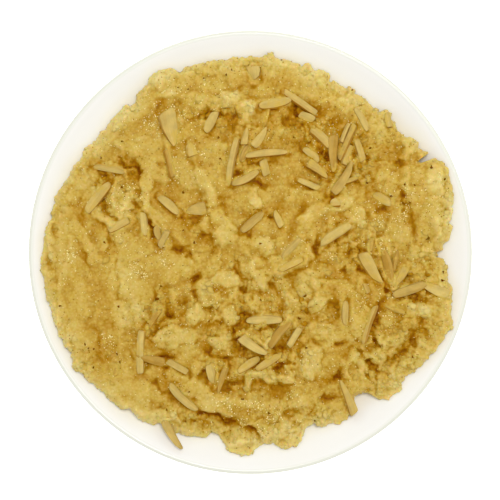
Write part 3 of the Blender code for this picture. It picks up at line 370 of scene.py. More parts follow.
class HeapLook(bpy.types.PropertyGroup):
    """The semolina heap."""
    crumb: FloatProperty(name="Crumb", description="Width of the crumbs on the clumps", unit="LENGTH",
                         default=2.6 * MM)
    grain: FloatProperty(name="Grain", description="Width of the uneven grain of the paste", unit="LENGTH",
                         default=1.8 * MM)
    golden: colour_setting("Golden", "Roasted semolina in ghee", "#C8A94E")
    # The heap reaches the pale colour mostly where painted light lifts its tone; the grains use it as their
    # own colour
    pale: colour_setting("Pale", "Moist pressed lumps", "#DAC579")
    toasted: colour_setting("Toasted", "Deeper roasted patches", "#AC7C0A")
    # Painted highlight: the bright colour that stands in for the glints of wet grains
    glint_highlight: colour_setting("Glassy", "Swollen grains wet with ghee", "#FFF2B0")
    # Painted shade: the darkest colour, for the depths of hollows and cracks
    cavity_shade: colour_setting("Cavity", "Ghee-soaked depths of cracks", "#824800")


class AlmondLook(bpy.types.PropertyGroup):
    """The slivered almonds."""
    cream: colour_setting("Cream", "Blanched almond", "#CDB56B")
    rosy: colour_setting("Rosy", "Almond fried to a pinkish tan", "#AA7E26")


class SpiceLook(bpy.types.PropertyGroup):
    """The flecks of cardamom."""
    husk: colour_setting("Husk", "Ground cardamom", "#6E3C04")


class StageLook(bpy.types.PropertyGroup):
    """Floor, light and camera."""
    drop: FloatProperty(name="Camera height", description="Height of the camera over the floor",
                        unit="LENGTH", default=0.587)
    lens: FloatProperty(name="Lens", description="Focal length of the camera in mm", default=85)
    floor: colour_setting("Floor", "Pale floor", "#FCFCFC")


LOOKS = {"halwa_dish": DishLook, "halwa_heap": HeapLook, "halwa_almond": AlmondLook,
         "halwa_spice": SpiceLook, "halwa_stage": StageLook}


def select_only(piece):
    """Makes one object the only one selected, and the active one."""
    if bpy.context.object and bpy.context.object.mode != "OBJECT":
        bpy.ops.object.mode_set(mode="OBJECT")
    bpy.ops.object.select_all(action="DESELECT")
    if piece:
        piece.select_set(True)
        bpy.context.view_layer.objects.active = piece


def apply_modifiers(piece):
    """Applies every modifier of a piece, in order."""
    select_only(piece)
    for name in [modifier.name for modifier in piece.modifiers]:
        bpy.ops.object.modifier_apply(modifier=name)


def settle(piece, node, material):
    """Applies a finished piece's transforms, gives it its finish, hangs it under the body and hides the part
    of model.glb that it stands for.
    """
    select_only(piece)
    bpy.ops.object.transform_apply(location=True, rotation=True, scale=True)
    piece.data.materials.clear()
    piece.data.materials.append(material)
    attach(piece, BODY)
    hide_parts(node)


def wire(tree, node, values=(), links=(), ramp=()):
    """Gives a shader node its settings and input values, its incoming links and its ramp's stops. A link
    starts at a socket, or at the first output that a node has in use."""
    for key, value in dict(values).items():
        if isinstance(key, str) and hasattr(node, key):
            setattr(node, key, value)
        else:
            node.inputs[key].default_value = value
    for key, source in dict(links).items():
        if isinstance(source, bpy.types.Node):
            source = next(output for output in source.outputs if output.enabled)
        tree.links.new(source, node.inputs[key])
    if ramp:
        stops = node.color_ramp.elements
        while len(stops) < len(ramp):
            stops.new(0.5)
        for stop, (place, colour) in zip(stops, ramp):
            stop.position = place
            stop.color = (*colour, 1)
    return node


def add_node(tree, kind, values=(), links=(), ramp=()):
    """Adds a shader node with its settings and links."""
    return wire(tree, tree.nodes.new("ShaderNode" + kind), values, links, ramp)


def new_material(name):
    """A node material, with its tree and its Principled surface."""
    material = bpy.data.materials.new(name)
    material.use_nodes = True
    return material, material.node_tree, material.node_tree.nodes["Principled BSDF"]


def glazed_porcelain():
    """Glazed porcelain, fired white: a clear glaze over a warm white body, smooth and glossy, with painted
    shade that darkens the lip, and a very slight unevenness that only bends the reflections."""
    look = bpy.context.scene.halwa_dish
    material, tree, surface = new_material("glazed_porcelain")
    place = add_node(tree, "TexCoord").outputs["Object"]
    # The glaze pools in areas of 36 mm, and its orange peel is 8 mm wide
    pooling = add_node(tree, "TexNoise", {"Scale": 28, "Detail": 2, "Roughness": 0.4}, {"Vector": place})
    tone = add_node(tree, "Mix", {"data_type": "RGBA", "A": (*look.glaze, 1), "B": (*linear("#F2F2EE"), 1)},
                    {0: pooling})
    level = add_node(tree, "VectorMath", {"operation": "MULTIPLY", 1: (1, 1, 0)}, {0: place})
    radius = add_node(tree, "VectorMath", {"operation": "LENGTH"}, {0: level})
    # Painted shade: towards the lip the glaze turns to the darker lip colour
    lip_shade = add_node(tree, "MapRange", {"From Min": LIP_SHADE_RADII[0], "From Max": LIP_SHADE_RADII[1]},
                    {"Value": radius})
    lip_shaded = add_node(tree, "Mix", {"data_type": "RGBA", "B": (*look.lip, 1)}, {0: lip_shade, "A": tone})
    orange_peel = add_node(tree, "TexNoise", {"Scale": 120, "Detail": 1}, {"Vector": place})
    ripple = add_node(tree, "Bump", {"Strength": 0.05, "Distance": 0.0004}, {"Height": orange_peel})
    wire(tree, surface, {"Roughness": 0.22, "Specular IOR Level": 0.3, "IOR": 1.5, "Coat Weight": 0.2,
                         "Coat Roughness": 0.06}, {"Base Color": lip_shaded, "Normal": ripple})
    return material


def wet_semolina(name, depth_of_light):
    """Semolina roasted and cooked in ghee: a soft, moist, golden paste of swollen grains, which lets some
    light through and shines where the ghee stands; the tone it reads paints shade, darker and more saturated,
    into its depths and paints light onto its lumps."""
    look = bpy.context.scene.halwa_heap
    material, tree, surface = new_material(name)
    place = add_node(tree, "TexCoord").outputs["Object"]
    tone = add_node(tree, "Attribute", {"attribute_name": "tone"}).outputs["Fac"]
    # Patches of 14 mm, a mottle of 2.5 mm and grains of 1.2 mm
    patches = add_node(tree, "TexNoise", {"Scale": 70, "Detail": 2, "Roughness": 0.5}, {"Vector": place})
    mottle = add_node(tree, "TexNoise", {"Scale": 400, "Detail": 3, "Roughness": 0.6}, {"Vector": place})
    grains = add_node(tree, "TexVoronoi", {"feature": "SMOOTH_F1", "Scale": 850, "Smoothness": 0.5},
                      {"Vector": place})
    slow = add_node(tree, "Math", {"operation": "MULTIPLY_ADD", 1: 0.3, 2: -0.2}, {0: patches})
    quick = add_node(tree, "Math", {"operation": "MULTIPLY_ADD", 1: 0.22}, {0: mottle, 2: slow})
    fine = add_node(tree, "Math", {"operation": "MULTIPLY_ADD", 1: -0.16}, {0: grains, 2: quick})
    total = add_node(tree, "Math", {"operation": "ADD"}, {0: fine, 1: tone})
    # The ramp's low stops give painted shade to the low tone of hollows and cracks; its top stops give
    # painted light to the lumps
    colour = add_node(tree, "ValToRGB", {}, {"Fac": total},
                      [(0.05, look.cavity_shade), (0.28, look.toasted), (0.5, look.golden), (0.75, look.pale),
                       (1, linear("#E8DAA0"))])
    relief = add_node(tree, "Math", {"operation": "ADD"}, {0: grains, 1: mottle})
    bump = add_node(tree, "Bump", {"Strength": 0.25, "Distance": 0.0004}, {"Height": relief})
    wire(tree, surface, {"Roughness": 0.42, "IOR": 1.46, "Specular IOR Level": 0.04,
                         "Subsurface Weight": 0.85 if depth_of_light else 0,
                         "Subsurface Radius": (1, 0.5, 0.12), "Subsurface Scale": depth_of_light},
         {"Base Color": colour, "Normal": bump})
    return material


def swollen_grain():
    """Single grains of semolina cooked in ghee: most swollen and pale, the brightest coloured as painted
    glints, some of them small and roasted brown; grains on low ground tone take painted shade."""
    look = bpy.context.scene.halwa_heap
    material, tree, surface = new_material("swollen_grain")
    tint, tone = (add_node(tree, "Attribute", {"attribute_name": name}).outputs["Fac"]
                  for name in ("tint", "tone"))
    colour = add_node(tree, "ValToRGB", {}, {"Fac": tint},
                      [(0, linear("#7A4A08")), (0.2, look.toasted), (0.5, look.pale), (0.8, look.glint_highlight)])
    # Painted shade: grains where the heap's tone is low are darkened towards the darkest colour
    depth = add_node(tree, "MapRange", {"From Min": 0.1, "From Max": 0.4, "To Min": 0.8, "To Max": 0},
                     {"Value": tone})
    shaded = add_node(tree, "Mix", {"data_type": "RGBA", "B": (*look.cavity_shade, 1)}, {0: depth, "A": colour})
    wire(tree, surface, {"Roughness": 0.2, "IOR": 1.47, "Specular IOR Level": 0.12}, {"Base Color": shaded})
    return material


def fried_almond():
    """Blanched almond cut into slivers and fried in ghee: a dense cream flesh, smooth on its cut faces with a
    faint lengthwise grain, tan where it touched the pan and filmed with ghee; its sides, most those turned
    from the window, and one top facet carry painted shade."""
    look = bpy.context.scene.halwa_almond
    material, tree, surface = new_material("fried_almond")
    place = add_node(tree, "TexCoord").outputs["Object"]
    tint, coated, fried, sunken, run, side = (
        add_node(tree, "Attribute", {"attribute_name": name}).outputs["Fac"]
        for name in ("tint", "coated", "fried", "sunken", "run", "side"))
    # A blush of 4 mm, smears of halwa of 2.4 mm, and a grain 0.7 mm wide and 5 mm long
    blush = add_node(tree, "TexNoise", {"Scale": 260, "Detail": 3}, {"Vector": place})
    smear = add_node(tree, "TexNoise", {"Scale": 420, "Detail": 4, "Roughness": 0.65}, {"Vector": place})
    slow = add_node(tree, "Math", {"operation": "MULTIPLY", 1: 0.12}, {0: run})
    flow = add_node(tree, "CombineXYZ", {}, {"X": slow, "Y": side, "Z": tint})
    streaks = add_node(tree, "TexNoise", {"Scale": 1500, "Detail": 2}, {"Vector": flow})
    # Painted shade: the fried value, high on the sides turned from the window and on one top facet, pulls the
    # flesh towards rosy
    shade_tint = add_node(tree, "Math", {"operation": "MULTIPLY_ADD", 1: 0.5, 2: -0.1, "use_clamp": True},
                       {0: fried})
    even = add_node(tree, "Math", {"operation": "MULTIPLY_ADD", 1: 0.9}, {0: tint, 2: shade_tint})
    flesh = add_node(tree, "Mix", {"data_type": "RGBA", "A": (*look.cream, 1), "B": (*look.rosy, 1)},
                     {0: even})
    shade = add_node(tree, "MapRange", {"From Min": 0.3, "From Max": 0.7, "To Min": 0.87, "To Max": 1.09},
                     {"Value": blush})
    toned = add_node(tree, "VectorMath", {"operation": "SCALE"}, {0: flesh, "Scale": shade})
    soaked = add_node(tree, "Math", {"operation": "MULTIPLY_ADD", 1: 0.55}, {0: sunken, 2: coated})
    cover = add_node(tree, "Math", {"operation": "ADD"}, {0: smear, 1: soaked})
    mask = add_node(tree, "MapRange", {"From Min": 0.92, "From Max": 1.1, "To Min": 0, "To Max": 0.9},
                    {"Value": cover})
    paste = (*bpy.context.scene.halwa_heap.golden, 1)
    colour = add_node(tree, "Mix", {"data_type": "RGBA", "B": paste}, {0: mask, "A": toned})
    # Painted shade: the sides darken further towards a dark amber
    depths = add_node(tree, "MapRange", {"From Min": 0.5, "From Max": 1, "To Min": 0, "To Max": 0.8},
                      {"Value": fried})
    side_shaded = add_node(tree, "Mix", {"data_type": "RGBA", "B": (*linear("#A66E04"), 1)},
                     {0: depths, "A": colour})
    streak = add_node(tree, "MapRange", {"From Min": 0.3, "From Max": 0.7, "To Min": 0.95, "To Max": 1.05},
                      {"Value": streaks})
    streaked = add_node(tree, "VectorMath", {"operation": "SCALE"}, {0: side_shaded, "Scale": streak})
    relief = add_node(tree, "Math", {"operation": "ADD"}, {0: smear, 1: streaks})
    bump = add_node(tree, "Bump", {"Strength": 0.25, "Distance": 0.0003}, {"Height": relief})
    wire(tree, surface, {"Roughness": 0.42, "IOR": 1.47, "Specular IOR Level": 0.02, "Subsurface Weight": 0.3,
                         "Subsurface Radius": (1, 0.6, 0.25), "Subsurface Scale": 0.0006},
         {"Base Color": streaked, "Normal": bump})
    return material


def cardamom_husk():
    """Cardamom, ground with its husk: dull dark brown chips, some a little lighter."""
    look = bpy.context.scene.halwa_spice
    material, tree, surface = new_material("cardamom_husk")
    tint = add_node(tree, "Attribute", {"attribute_name": "tint"}).outputs["Fac"]
    colour = add_node(tree, "ValToRGB", {}, {"Fac": tint},
                      [(0, look.husk), (0.7, linear("#84540C")), (1, linear("#74500A"))])
    wire(tree, surface, {"Roughness": 0.8, "Specular IOR Level": 0}, {"Base Color": colour})
    return material


def opal_floor():
    """Matt opal acrylic, lit a little through: an even, nearly white floor."""
    material, tree, surface = new_material("opal_floor")
    wire(tree, surface, {"Base Color": (*bpy.context.scene.halwa_stage.floor, 1), "Roughness": 0.9,
                         "Specular IOR Level": 0, "Emission Color": (1, 1, 1, 1), "Emission Strength": 0.8})
    return material


def wall_section(share):
    """Inner and outer face of the dish's wall, from its middle line, at shares of the way to the lip."""
    lip_centre = DISH_RADIUS - LIP_THICKNESS / 2
    low = FOOT_HEIGHT + BASE_THICKNESS / 2
    rise = DISH_HEIGHT - LIP_THICKNESS / 2 - low
    reach = lip_centre - WELL_RADIUS
    radius = share * lip_centre
    along = np.clip((radius - WELL_RADIUS) / reach, 0, 1)
    height = low + rise * along ** WALL_CURVE
    slope = np.arctan(WALL_CURVE * rise / reach * along ** (WALL_CURVE - 1))
    half = (BASE_THICKNESS + (LIP_THICKNESS - BASE_THICKNESS) * along) / 2
    inner = np.stack([radius - half * np.sin(slope), height + half * np.cos(slope)], axis=-1)
    outer = np.stack([radius + half * np.sin(slope), height - half * np.cos(slope)], axis=-1)
    return inner, outer


INNER_FACE = wall_section(np.linspace(0, 1, 400))[0]


def wall_height(radius):
    """Height of the dish's inner face at a distance from its axis."""
    return np.interp(radius, INNER_FACE[:, 0], INNER_FACE[:, 1])


def dish_profile(wall_points=18, lip_points=9):
    """Half section of the dish, from the middle of its well over the lip to the middle of its base."""
    start = WELL_RADIUS / (DISH_RADIUS - LIP_THICKNESS / 2)
    shares = start + (1 - start) * np.linspace(0, 1, wall_points) ** 0.8
    inner, outer = wall_section(shares)
    points = [(WELL_RADIUS * share, FOOT_HEIGHT + BASE_THICKNESS) for share in (0.15, 0.5, 0.85)]
    points += [tuple(point) for point in inner]
    middle = (inner[-1] + outer[-1]) / 2
    spoke = inner[-1] - middle
    for step in range(1, lip_points + 1):
        turn = -math.pi * step / (lip_points + 1)
        points.append((middle[0] + spoke[0] * math.cos(turn) - spoke[1] * math.sin(turn),
                       middle[1] + spoke[0] * math.sin(turn) + spoke[1] * math.cos(turn)))
    points += [tuple(point) for point in outer[:0:-1]]
    for ring, outward in ((FOOT_OUTER, 1), (FOOT_INNER, -1)):
        corner = [(FOOT_ROUND * 1.4, FOOT_HEIGHT), (FOOT_ROUND * 0.4, FOOT_HEIGHT * 0.7), (0.0, FOOT_ROUND),
                  (-FOOT_ROUND * 0.3, FOOT_ROUND * 0.3), (-FOOT_ROUND, 0.0)]
        points += [(ring + outward * out, height) for out, height in corner[::outward]]
    points += [(FOOT_INNER * share, FOOT_HEIGHT) for share in (0.8, 0.4, 0.1)]
    return points


def turn_dish():
    """Extrudes a ring of the well through the dish's section, then closes the middle of both faces."""
    look = bpy.context.scene.halwa_dish
    profile = dish_profile()
    select_only(None)
    radius, height = profile[0]
    bpy.ops.mesh.primitive_circle_add(vertices=look.segments, radius=radius, location=(0, 0, height),
                                      fill_type="TRIFAN")
    dish = bpy.context.object
    dish.name = "porcelain_dish"
    bpy.ops.object.mode_set(mode="EDIT")
    bpy.ops.mesh.select_mode(type="EDGE")
    bpy.ops.mesh.select_all(action="SELECT")
    bpy.ops.mesh.region_to_loop()
    for wider, higher in profile[1:]:
        bpy.ops.mesh.extrude_edges_move(TRANSFORM_OT_translate={"value": (0, 0, higher - height)})
        share = wider / radius
        bpy.ops.transform.resize(value=(share, share, 1), center_override=(0, 0, 0))
        radius, height = wider, higher
    bpy.ops.mesh.edge_face_add()
    bpy.ops.mesh.poke()
    bpy.ops.mesh.select_all(action="SELECT")
    bpy.ops.mesh.remove_doubles(threshold=0.00001)
    bpy.ops.mesh.normals_make_consistent(inside=False)
    bpy.ops.object.mode_set(mode="OBJECT")
    bpy.ops.object.shade_smooth()
    settle(dish, "dish", glazed_porcelain())


def broad_radius(angle):
    """Smooth radius of the heap, without its tongues and notches."""
    spot = np.degrees(angle) % 360 / EDGE_STEP_DEG
    low = np.floor(spot).astype(int)
    share = spot - low
    ring = np.array(EDGE_RADII) * MM
    before, start, stop, after = (ring[(low + shift) % len(ring)] for shift in (-1, 0, 1, 2))
    cubic = 3 * (start - stop) + after - before
    square = 2 * before - 5 * start + 4 * stop - after
    return start + 0.5 * share * (stop - before + share * (square + share * cubic))


def edge_radius(angle):
    """Radius of the heap's broken edge."""
    radius = broad_radius(angle)
    for centre, change, half_width in EDGE_BREAKS:
        away = (np.degrees(angle) - centre + 180) % 360 - 180
        radius = radius + change * MM * np.exp(-np.abs(away / half_width) ** 5)
    x, y = radius * np.cos(angle), radius * np.sin(angle)
    for size, height in EDGE_TEETH:
        radius = radius + height * MM * noise_field(x, y, size * MM, size + 30.5)
    return radius


def blob(x, y, shape, steepness=4):
    """Share of a lump or pit at each place: 1 on it and 0 away from it, with a steep side."""
    centre_x, centre_y, half_length, half_width = (size * MM for size in shape[:4])
    turn = math.radians(shape[4])
    along = (x - centre_x) * math.cos(turn) + (y - centre_y) * math.sin(turn)
    across = (y - centre_y) * math.cos(turn) - (x - centre_x) * math.sin(turn)
    return np.exp(-np.hypot(along / half_length, across / half_width) ** steepness)


def run_distance(x, y, points):
    """Distance from each place to a run of straight pieces, and distance to the line of the nearest
    piece; both are less than 0 on the run's right-hand side."""
    nearest = np.full(x.shape, np.inf)
    signed = np.zeros(x.shape)
    across = np.zeros(x.shape)
    for (x0, y0), (x1, y1) in zip(points, points[1:]):
        x0, y0, x1, y1 = x0 * MM, y0 * MM, x1 * MM, y1 * MM
        length = math.hypot(x1 - x0, y1 - y0)
        ahead_x, ahead_y = (x1 - x0) / length, (y1 - y0) / length
        along = np.clip((x - x0) * ahead_x + (y - y0) * ahead_y, 0, length)
        away = np.hypot(x - x0 - along * ahead_x, y - y0 - along * ahead_y)
        beside = (y - y0) * ahead_x - (x - x0) * ahead_y
        closer = away < nearest
        nearest = np.where(closer, away, nearest)
        signed = np.where(closer, np.where(beside >= 0, away, -away), signed)
        across = np.where(closer, beside, across)
    return signed, across


def noise_field(x, y, size, layer):
    """Smooth noise of one width at each place, about -1 to 1."""
    return np.array([noise.noise((px, py, layer)) for px, py in zip((x / size).ravel(), (y / size).ravel())])


def drawn_field(x, y, size, layer):
    """Smooth noise drawn out along the strokes of the spoon, which go round the dish, about -1 to 1."""
    radius = np.maximum(np.hypot(x, y), 0.1 * MM)
    loops = STROKE_RING / (STROKE_LENGTH * size)
    ring = zip(x / radius * loops, y / radius * loops, radius / size + layer)
    drawn = np.array([noise.noise(place) for place in ring])
    share = np.clip((radius - 35 * MM) / (25 * MM), 0, 1)
    return drawn * share + noise_field(x, y, size, layer) * (1 - share)


def wandered(x, y):
    """Places moved a little by noise, so that the listed forms lose their even outlines."""
    shift_x = noise_field(x, y, 6 * MM, 3.1) * 2.6 * MM + noise_field(x, y, 2.4 * MM, 5.7) * 0.9 * MM
    shift_y = noise_field(x, y, 6 * MM, 8.3) * 2.6 * MM + noise_field(x, y, 2.4 * MM, 9.9) * 0.9 * MM
    return x + shift_x, y + shift_y


def shifted(x, y, size, reach, layers):
    """Places moved a little by noise of one width."""
    x = x + noise_field(x, y, size, layers[0]) * reach
    return x, y + noise_field(x, y, size, layers[1]) * reach


def random_cells(x, y, size, layer, count):
    """The nine cells of random pieces round every place: their column, line and random values."""
    half = int(CELL_FIELD / size) + 3
    table = np.random.default_rng(layer).random((count, 2 * half, 2 * half))
    column, line = np.floor(x / size).astype(int), np.floor(y / size).astype(int)
    for step_x in (-1, 0, 1):
        for step_y in (-1, 0, 1):
            yield column + step_x, line + step_y, table[:, column + step_x + half, line + step_y + half]


def pile(x, y, size, layer):
    """Upper outline of a pile of uneven lumps of about one width, from -0.5 in its gaps to 0.5."""
    x, y = shifted(x, y, size * 0.6, size * 0.34, (layer + 0.3, layer + 7.7))
    outline = np.zeros(x.shape)
    for column, line, (across, up, radius, top, turn, stretch) in random_cells(x, y, size, layer, 6):
        away_x = x - (column + 0.5 + 0.7 * (across - 0.5)) * size
        away_y = y - (line + 0.5 + 0.7 * (up - 0.5)) * size
        turn = turn * math.pi
        along = (away_x * np.cos(turn) + away_y * np.sin(turn)) / (1 + 0.3 * stretch)
        sideways = away_y * np.cos(turn) - away_x * np.sin(turn)
        share = np.hypot(along, sideways) / (size * (0.5 + 0.35 * radius))
        outline = np.maximum(outline, (0.3 + 0.7 * top) * (1 - share ** 3))
    return outline - 0.5


def broken(x, y, size, layer):
    """Height of a face broken into tilted pieces of about one width, with soft steps between, near 0."""
    x, y = shifted(x, y, size * 0.5, size * 0.3, (layer + 0.6, layer + 4.4))
    weights = np.zeros(x.shape)
    heights = np.zeros(x.shape)
    for column, line, values in random_cells(x, y, size, layer, 5):
        across, up, high, tilt_x, tilt_y = values - 0.5
        away_x = x / size - (column + 0.5 + 0.8 * across)
        away_y = y / size - (line + 0.5 + 0.8 * up)
        weight = np.exp(-CHUNK_STEP * (away_x ** 2 + away_y ** 2)) + 1e-12
        weights += weight
        heights += weight * (high + 1.3 * (tilt_x * away_x + tilt_y * away_y))
    return heights / weights


def top_height(x, y):
    """Height of the heap's upper face, before the clumps and grains."""
    radius = np.hypot(x, y)
    broad = broad_radius(np.arctan2(y, x))
    rim = wall_height(broad) + EDGE_DEPTH
    height = CROWN_HEIGHT - (CROWN_HEIGHT - rim) * (radius / broad) ** CROWN_CURVE
    plain_x, plain_y = x, y
    x, y = wandered(x, y)
    proud = np.zeros(x.shape)
    moat = np.zeros(x.shape)
    for lump in LUMPS:
        share = blob(x, y, lump)
        proud = np.maximum(proud, lump[5] * MM * share)
        moat = np.maximum(moat, MOAT_DEPTH * np.exp(-((share - 0.16) / 0.13) ** 2))
    for ridge, half_width, points in RIDGES:
        away, _ = run_distance(x, y, points)
        proud = np.maximum(proud, ridge * MM * np.exp(-(away / (half_width * MM)) ** 4))
    for step, points in LEDGES:
        away, across = run_distance(x, y, points)
        fade = np.exp(-(away / LEDGE_REACH) ** 2 - (away ** 2 - across ** 2) / LEDGE_FADE ** 2)
        height = height + step / 2 * MM * np.tanh(across / LEDGE_SOFTNESS) * fade
    x, y = shifted(x, y, 1.9 * MM, 0.9 * MM, (12.4, 15.8))
    for depth, half_width, points in CRACKS:
        away, _ = run_distance(x, y, points)
        height = height - CRACK_SHARE * depth * MM * np.exp(-(away / (half_width * MM)) ** 2)
    for pit in PITS:
        height = height - PIT_SHARE * pit[5] * MM * blob(x, y, pit, 2)
    x, y = plain_x, plain_y
    stroke_x = x + 8 * MM * noise_field(x, y, 36 * MM, 1.7)
    stroke_y = y + 8 * MM * noise_field(x, y, 36 * MM, 4.9)
    for size, rise in WAVES:
        height = height + rise * MM * drawn_field(stroke_x, stroke_y, size * MM, size)
    uneven = np.clip(0.5 + 1.3 * noise_field(x, y, 7 * MM, 21.5), 0, 1)
    height = height + proud - moat * uneven * np.clip(1 - proud / MOAT_DEPTH, 0, 1)
    crumbly = crumbly_share(x, y)
    for form, first, sizes in ((broken, 3, CHUNKS), (pile, 9, CLODS)):
        for layer, (size, rise, least) in enumerate(sizes, first):
            height = height + rise * MM * (least + (1 - least) * crumbly) * form(x, y, size * MM, layer)
    over = np.maximum(height - SUMMIT, 0) / SUMMIT_SOFTNESS
    height = np.minimum(height, SUMMIT) + SUMMIT_SOFTNESS * np.tanh(over)
    return np.maximum(height, wall_height(radius) + LEAST_DEPTH)


def crumbly_share(x, y):
    """How far the heap crumbles at each place, from 0 where it is pressed smooth to 1."""
    share = np.zeros(x.shape)
    for area in CRUMBLY:
        share = np.maximum(share, blob(x, y, area, 3))
    edge = np.hypot(x, y) / broad_radius(np.arctan2(y, x))
    share = np.maximum(share, np.clip((edge - 0.90) / 0.07, 0, 1) * 0.8)
    return np.clip(share + 0.35 * noise_field(x, y, 14 * MM, 2.2), 0.05, 1)


def almond_banks(x, y):
    """Halwa pushed up, or drawn away, beside each almond."""
    chance = random.Random(ALMOND_SEED)
    change = np.zeros(x.shape)
    for row in ALMONDS:
        away, across = run_distance(x, y, [(row[1], row[2]), (row[3], row[4])])
        left, right = (chance.uniform(-0.5, 1.1) + (0.5 if row[0] == "sunk" else 0) for _ in range(2))
        beside = np.exp(-((np.abs(away) - row[5] / 2 * MM) / MM) ** 2)
        leftward = 0.5 + 0.5 * np.tanh(across / (0.8 * MM))
        change = change + (left * leftward + right * (1 - leftward)) * MM * beside
    return change


def painted_shade_share(x, y):
    """How much painted shade each place takes: in the hollows, the cracks and the creases beside the almonds,
    most on the side turned away from the window."""
    wander_x, wander_y = wandered(x, y)
    deep = np.zeros(x.shape)
    for pit in PITS:
        deep = np.maximum(deep, pit[5] / 3 * blob(wander_x, wander_y, pit, 1.6))
    for depth, half_width, points in CRACKS:
        away, _ = run_distance(wander_x, wander_y, points)
        deep = np.maximum(deep, depth / 6 * np.exp(-(away / (half_width * MM)) ** 2))
    for row in ALMONDS:
        away, across = run_distance(x, y, [(row[1], row[2]), (row[3], row[4])])
        turn = math.atan2(row[4] - row[2], row[3] - row[1])
        shaded = 0.55 - 0.45 * math.cos(turn) * np.tanh(across / (0.8 * MM))
        beside = np.exp(-((np.abs(away) - row[5] / 2 * MM) / (0.8 * MM)) ** 2)
        deep = np.maximum(deep, shaded * beside)
    return deep


def sheet_places(u, v):
    """Places of the heap's upper face and broken edge, for a square of -1 to 1 spread over a disc."""
    share = np.maximum(np.abs(u), np.abs(v))
    sideways = np.abs(u) >= np.abs(v)
    middle = share < 1e-9
    east = math.pi / 4 * v / np.where(sideways & ~middle, u, 1) + np.where(u < 0, math.pi, 0)
    north = math.pi / 2 - math.pi / 4 * u / np.where(sideways, 1, v) + np.where(v < 0, math.pi, 0)
    angle = np.where(sideways, east, north)
    edge = edge_radius(angle)
    shoulder = edge - EDGE_ROUND
    rim = top_height(shoulder * np.cos(angle), shoulder * np.sin(angle))
    cliff = np.maximum(rim - wall_height(edge), LEAST_DEPTH)
    face = np.hypot(EDGE_ROUND, cliff)
    path = share * (shoulder + face)
    turn = np.clip((path - shoulder) / face, 0, 1) * math.pi / 2
    radius = np.minimum(path, shoulder) + EDGE_ROUND * np.sin(turn)
    x, y = radius * np.cos(angle), radius * np.sin(angle)
    foot = wall_height(edge) + GAP
    top = top_height(x, y) + almond_banks(x, y)
    height = foot + (np.maximum(top, foot) - foot) * np.cos(turn)
    return x, y, height, turn


def read_places(mesh):
    """Vertex places of a mesh as rows of x, y, z."""
    places = np.empty(len(mesh.vertices) * 3)
    mesh.vertices.foreach_get("co", places)
    return places.reshape(-1, 3)


def write_places(mesh, places):
    """Moves the vertices of a mesh."""
    mesh.vertices.foreach_set("co", np.ascontiguousarray(places).ravel())
    mesh.update()


def add_value(mesh, name, values, domain="POINT"):
    """Stores one value for each vertex, or each face, for the material to read."""
    attribute = mesh.attributes.new(name, "FLOAT", domain)
    attribute.data.foreach_set("value", np.ascontiguousarray(values, dtype=np.float32))


def blurred(field, reach):
    """Mean of a square field over a window of that many cells each way."""
    size = 2 * reach + 1
    for axis in (0, 1):
        margins = [(reach + 1, reach) if index == axis else (0, 0) for index in (0, 1)]
        total = np.cumsum(np.pad(field, margins, mode="edge"), axis=axis)
        field = (np.take(total, range(size, total.shape[axis]), axis)
                 - np.take(total, range(total.shape[axis] - size), axis)) / size
    return field


def weight_group(piece, name, weights):
    """A vertex group with a weight for each vertex, in steps of a fiftieth."""
    group = piece.vertex_groups.new(name=name)
    steps = np.round(weights * 50).astype(int)
    for step in range(1, 51):
        group.add(np.nonzero(steps == step)[0].tolist(), step / 50, "REPLACE")


def displace(piece, name, kind, width, strength, group, middle=0.5):
    """Raises a piece's surface by a procedural pattern of one width."""
    pattern = bpy.data.textures.new(name, kind)
    pattern.noise_scale = width
    if kind == "CLOUDS":
        pattern.noise_basis = "ORIGINAL_PERLIN"
        pattern.noise_depth = 1
    else:
        pattern.noise_intensity = 1.0
    modifier = piece.modifiers.new(name, "DISPLACE")
    modifier.texture = pattern
    modifier.texture_coords = "LOCAL"
    modifier.strength = strength
    modifier.mid_level = middle
    modifier.vertex_group = group


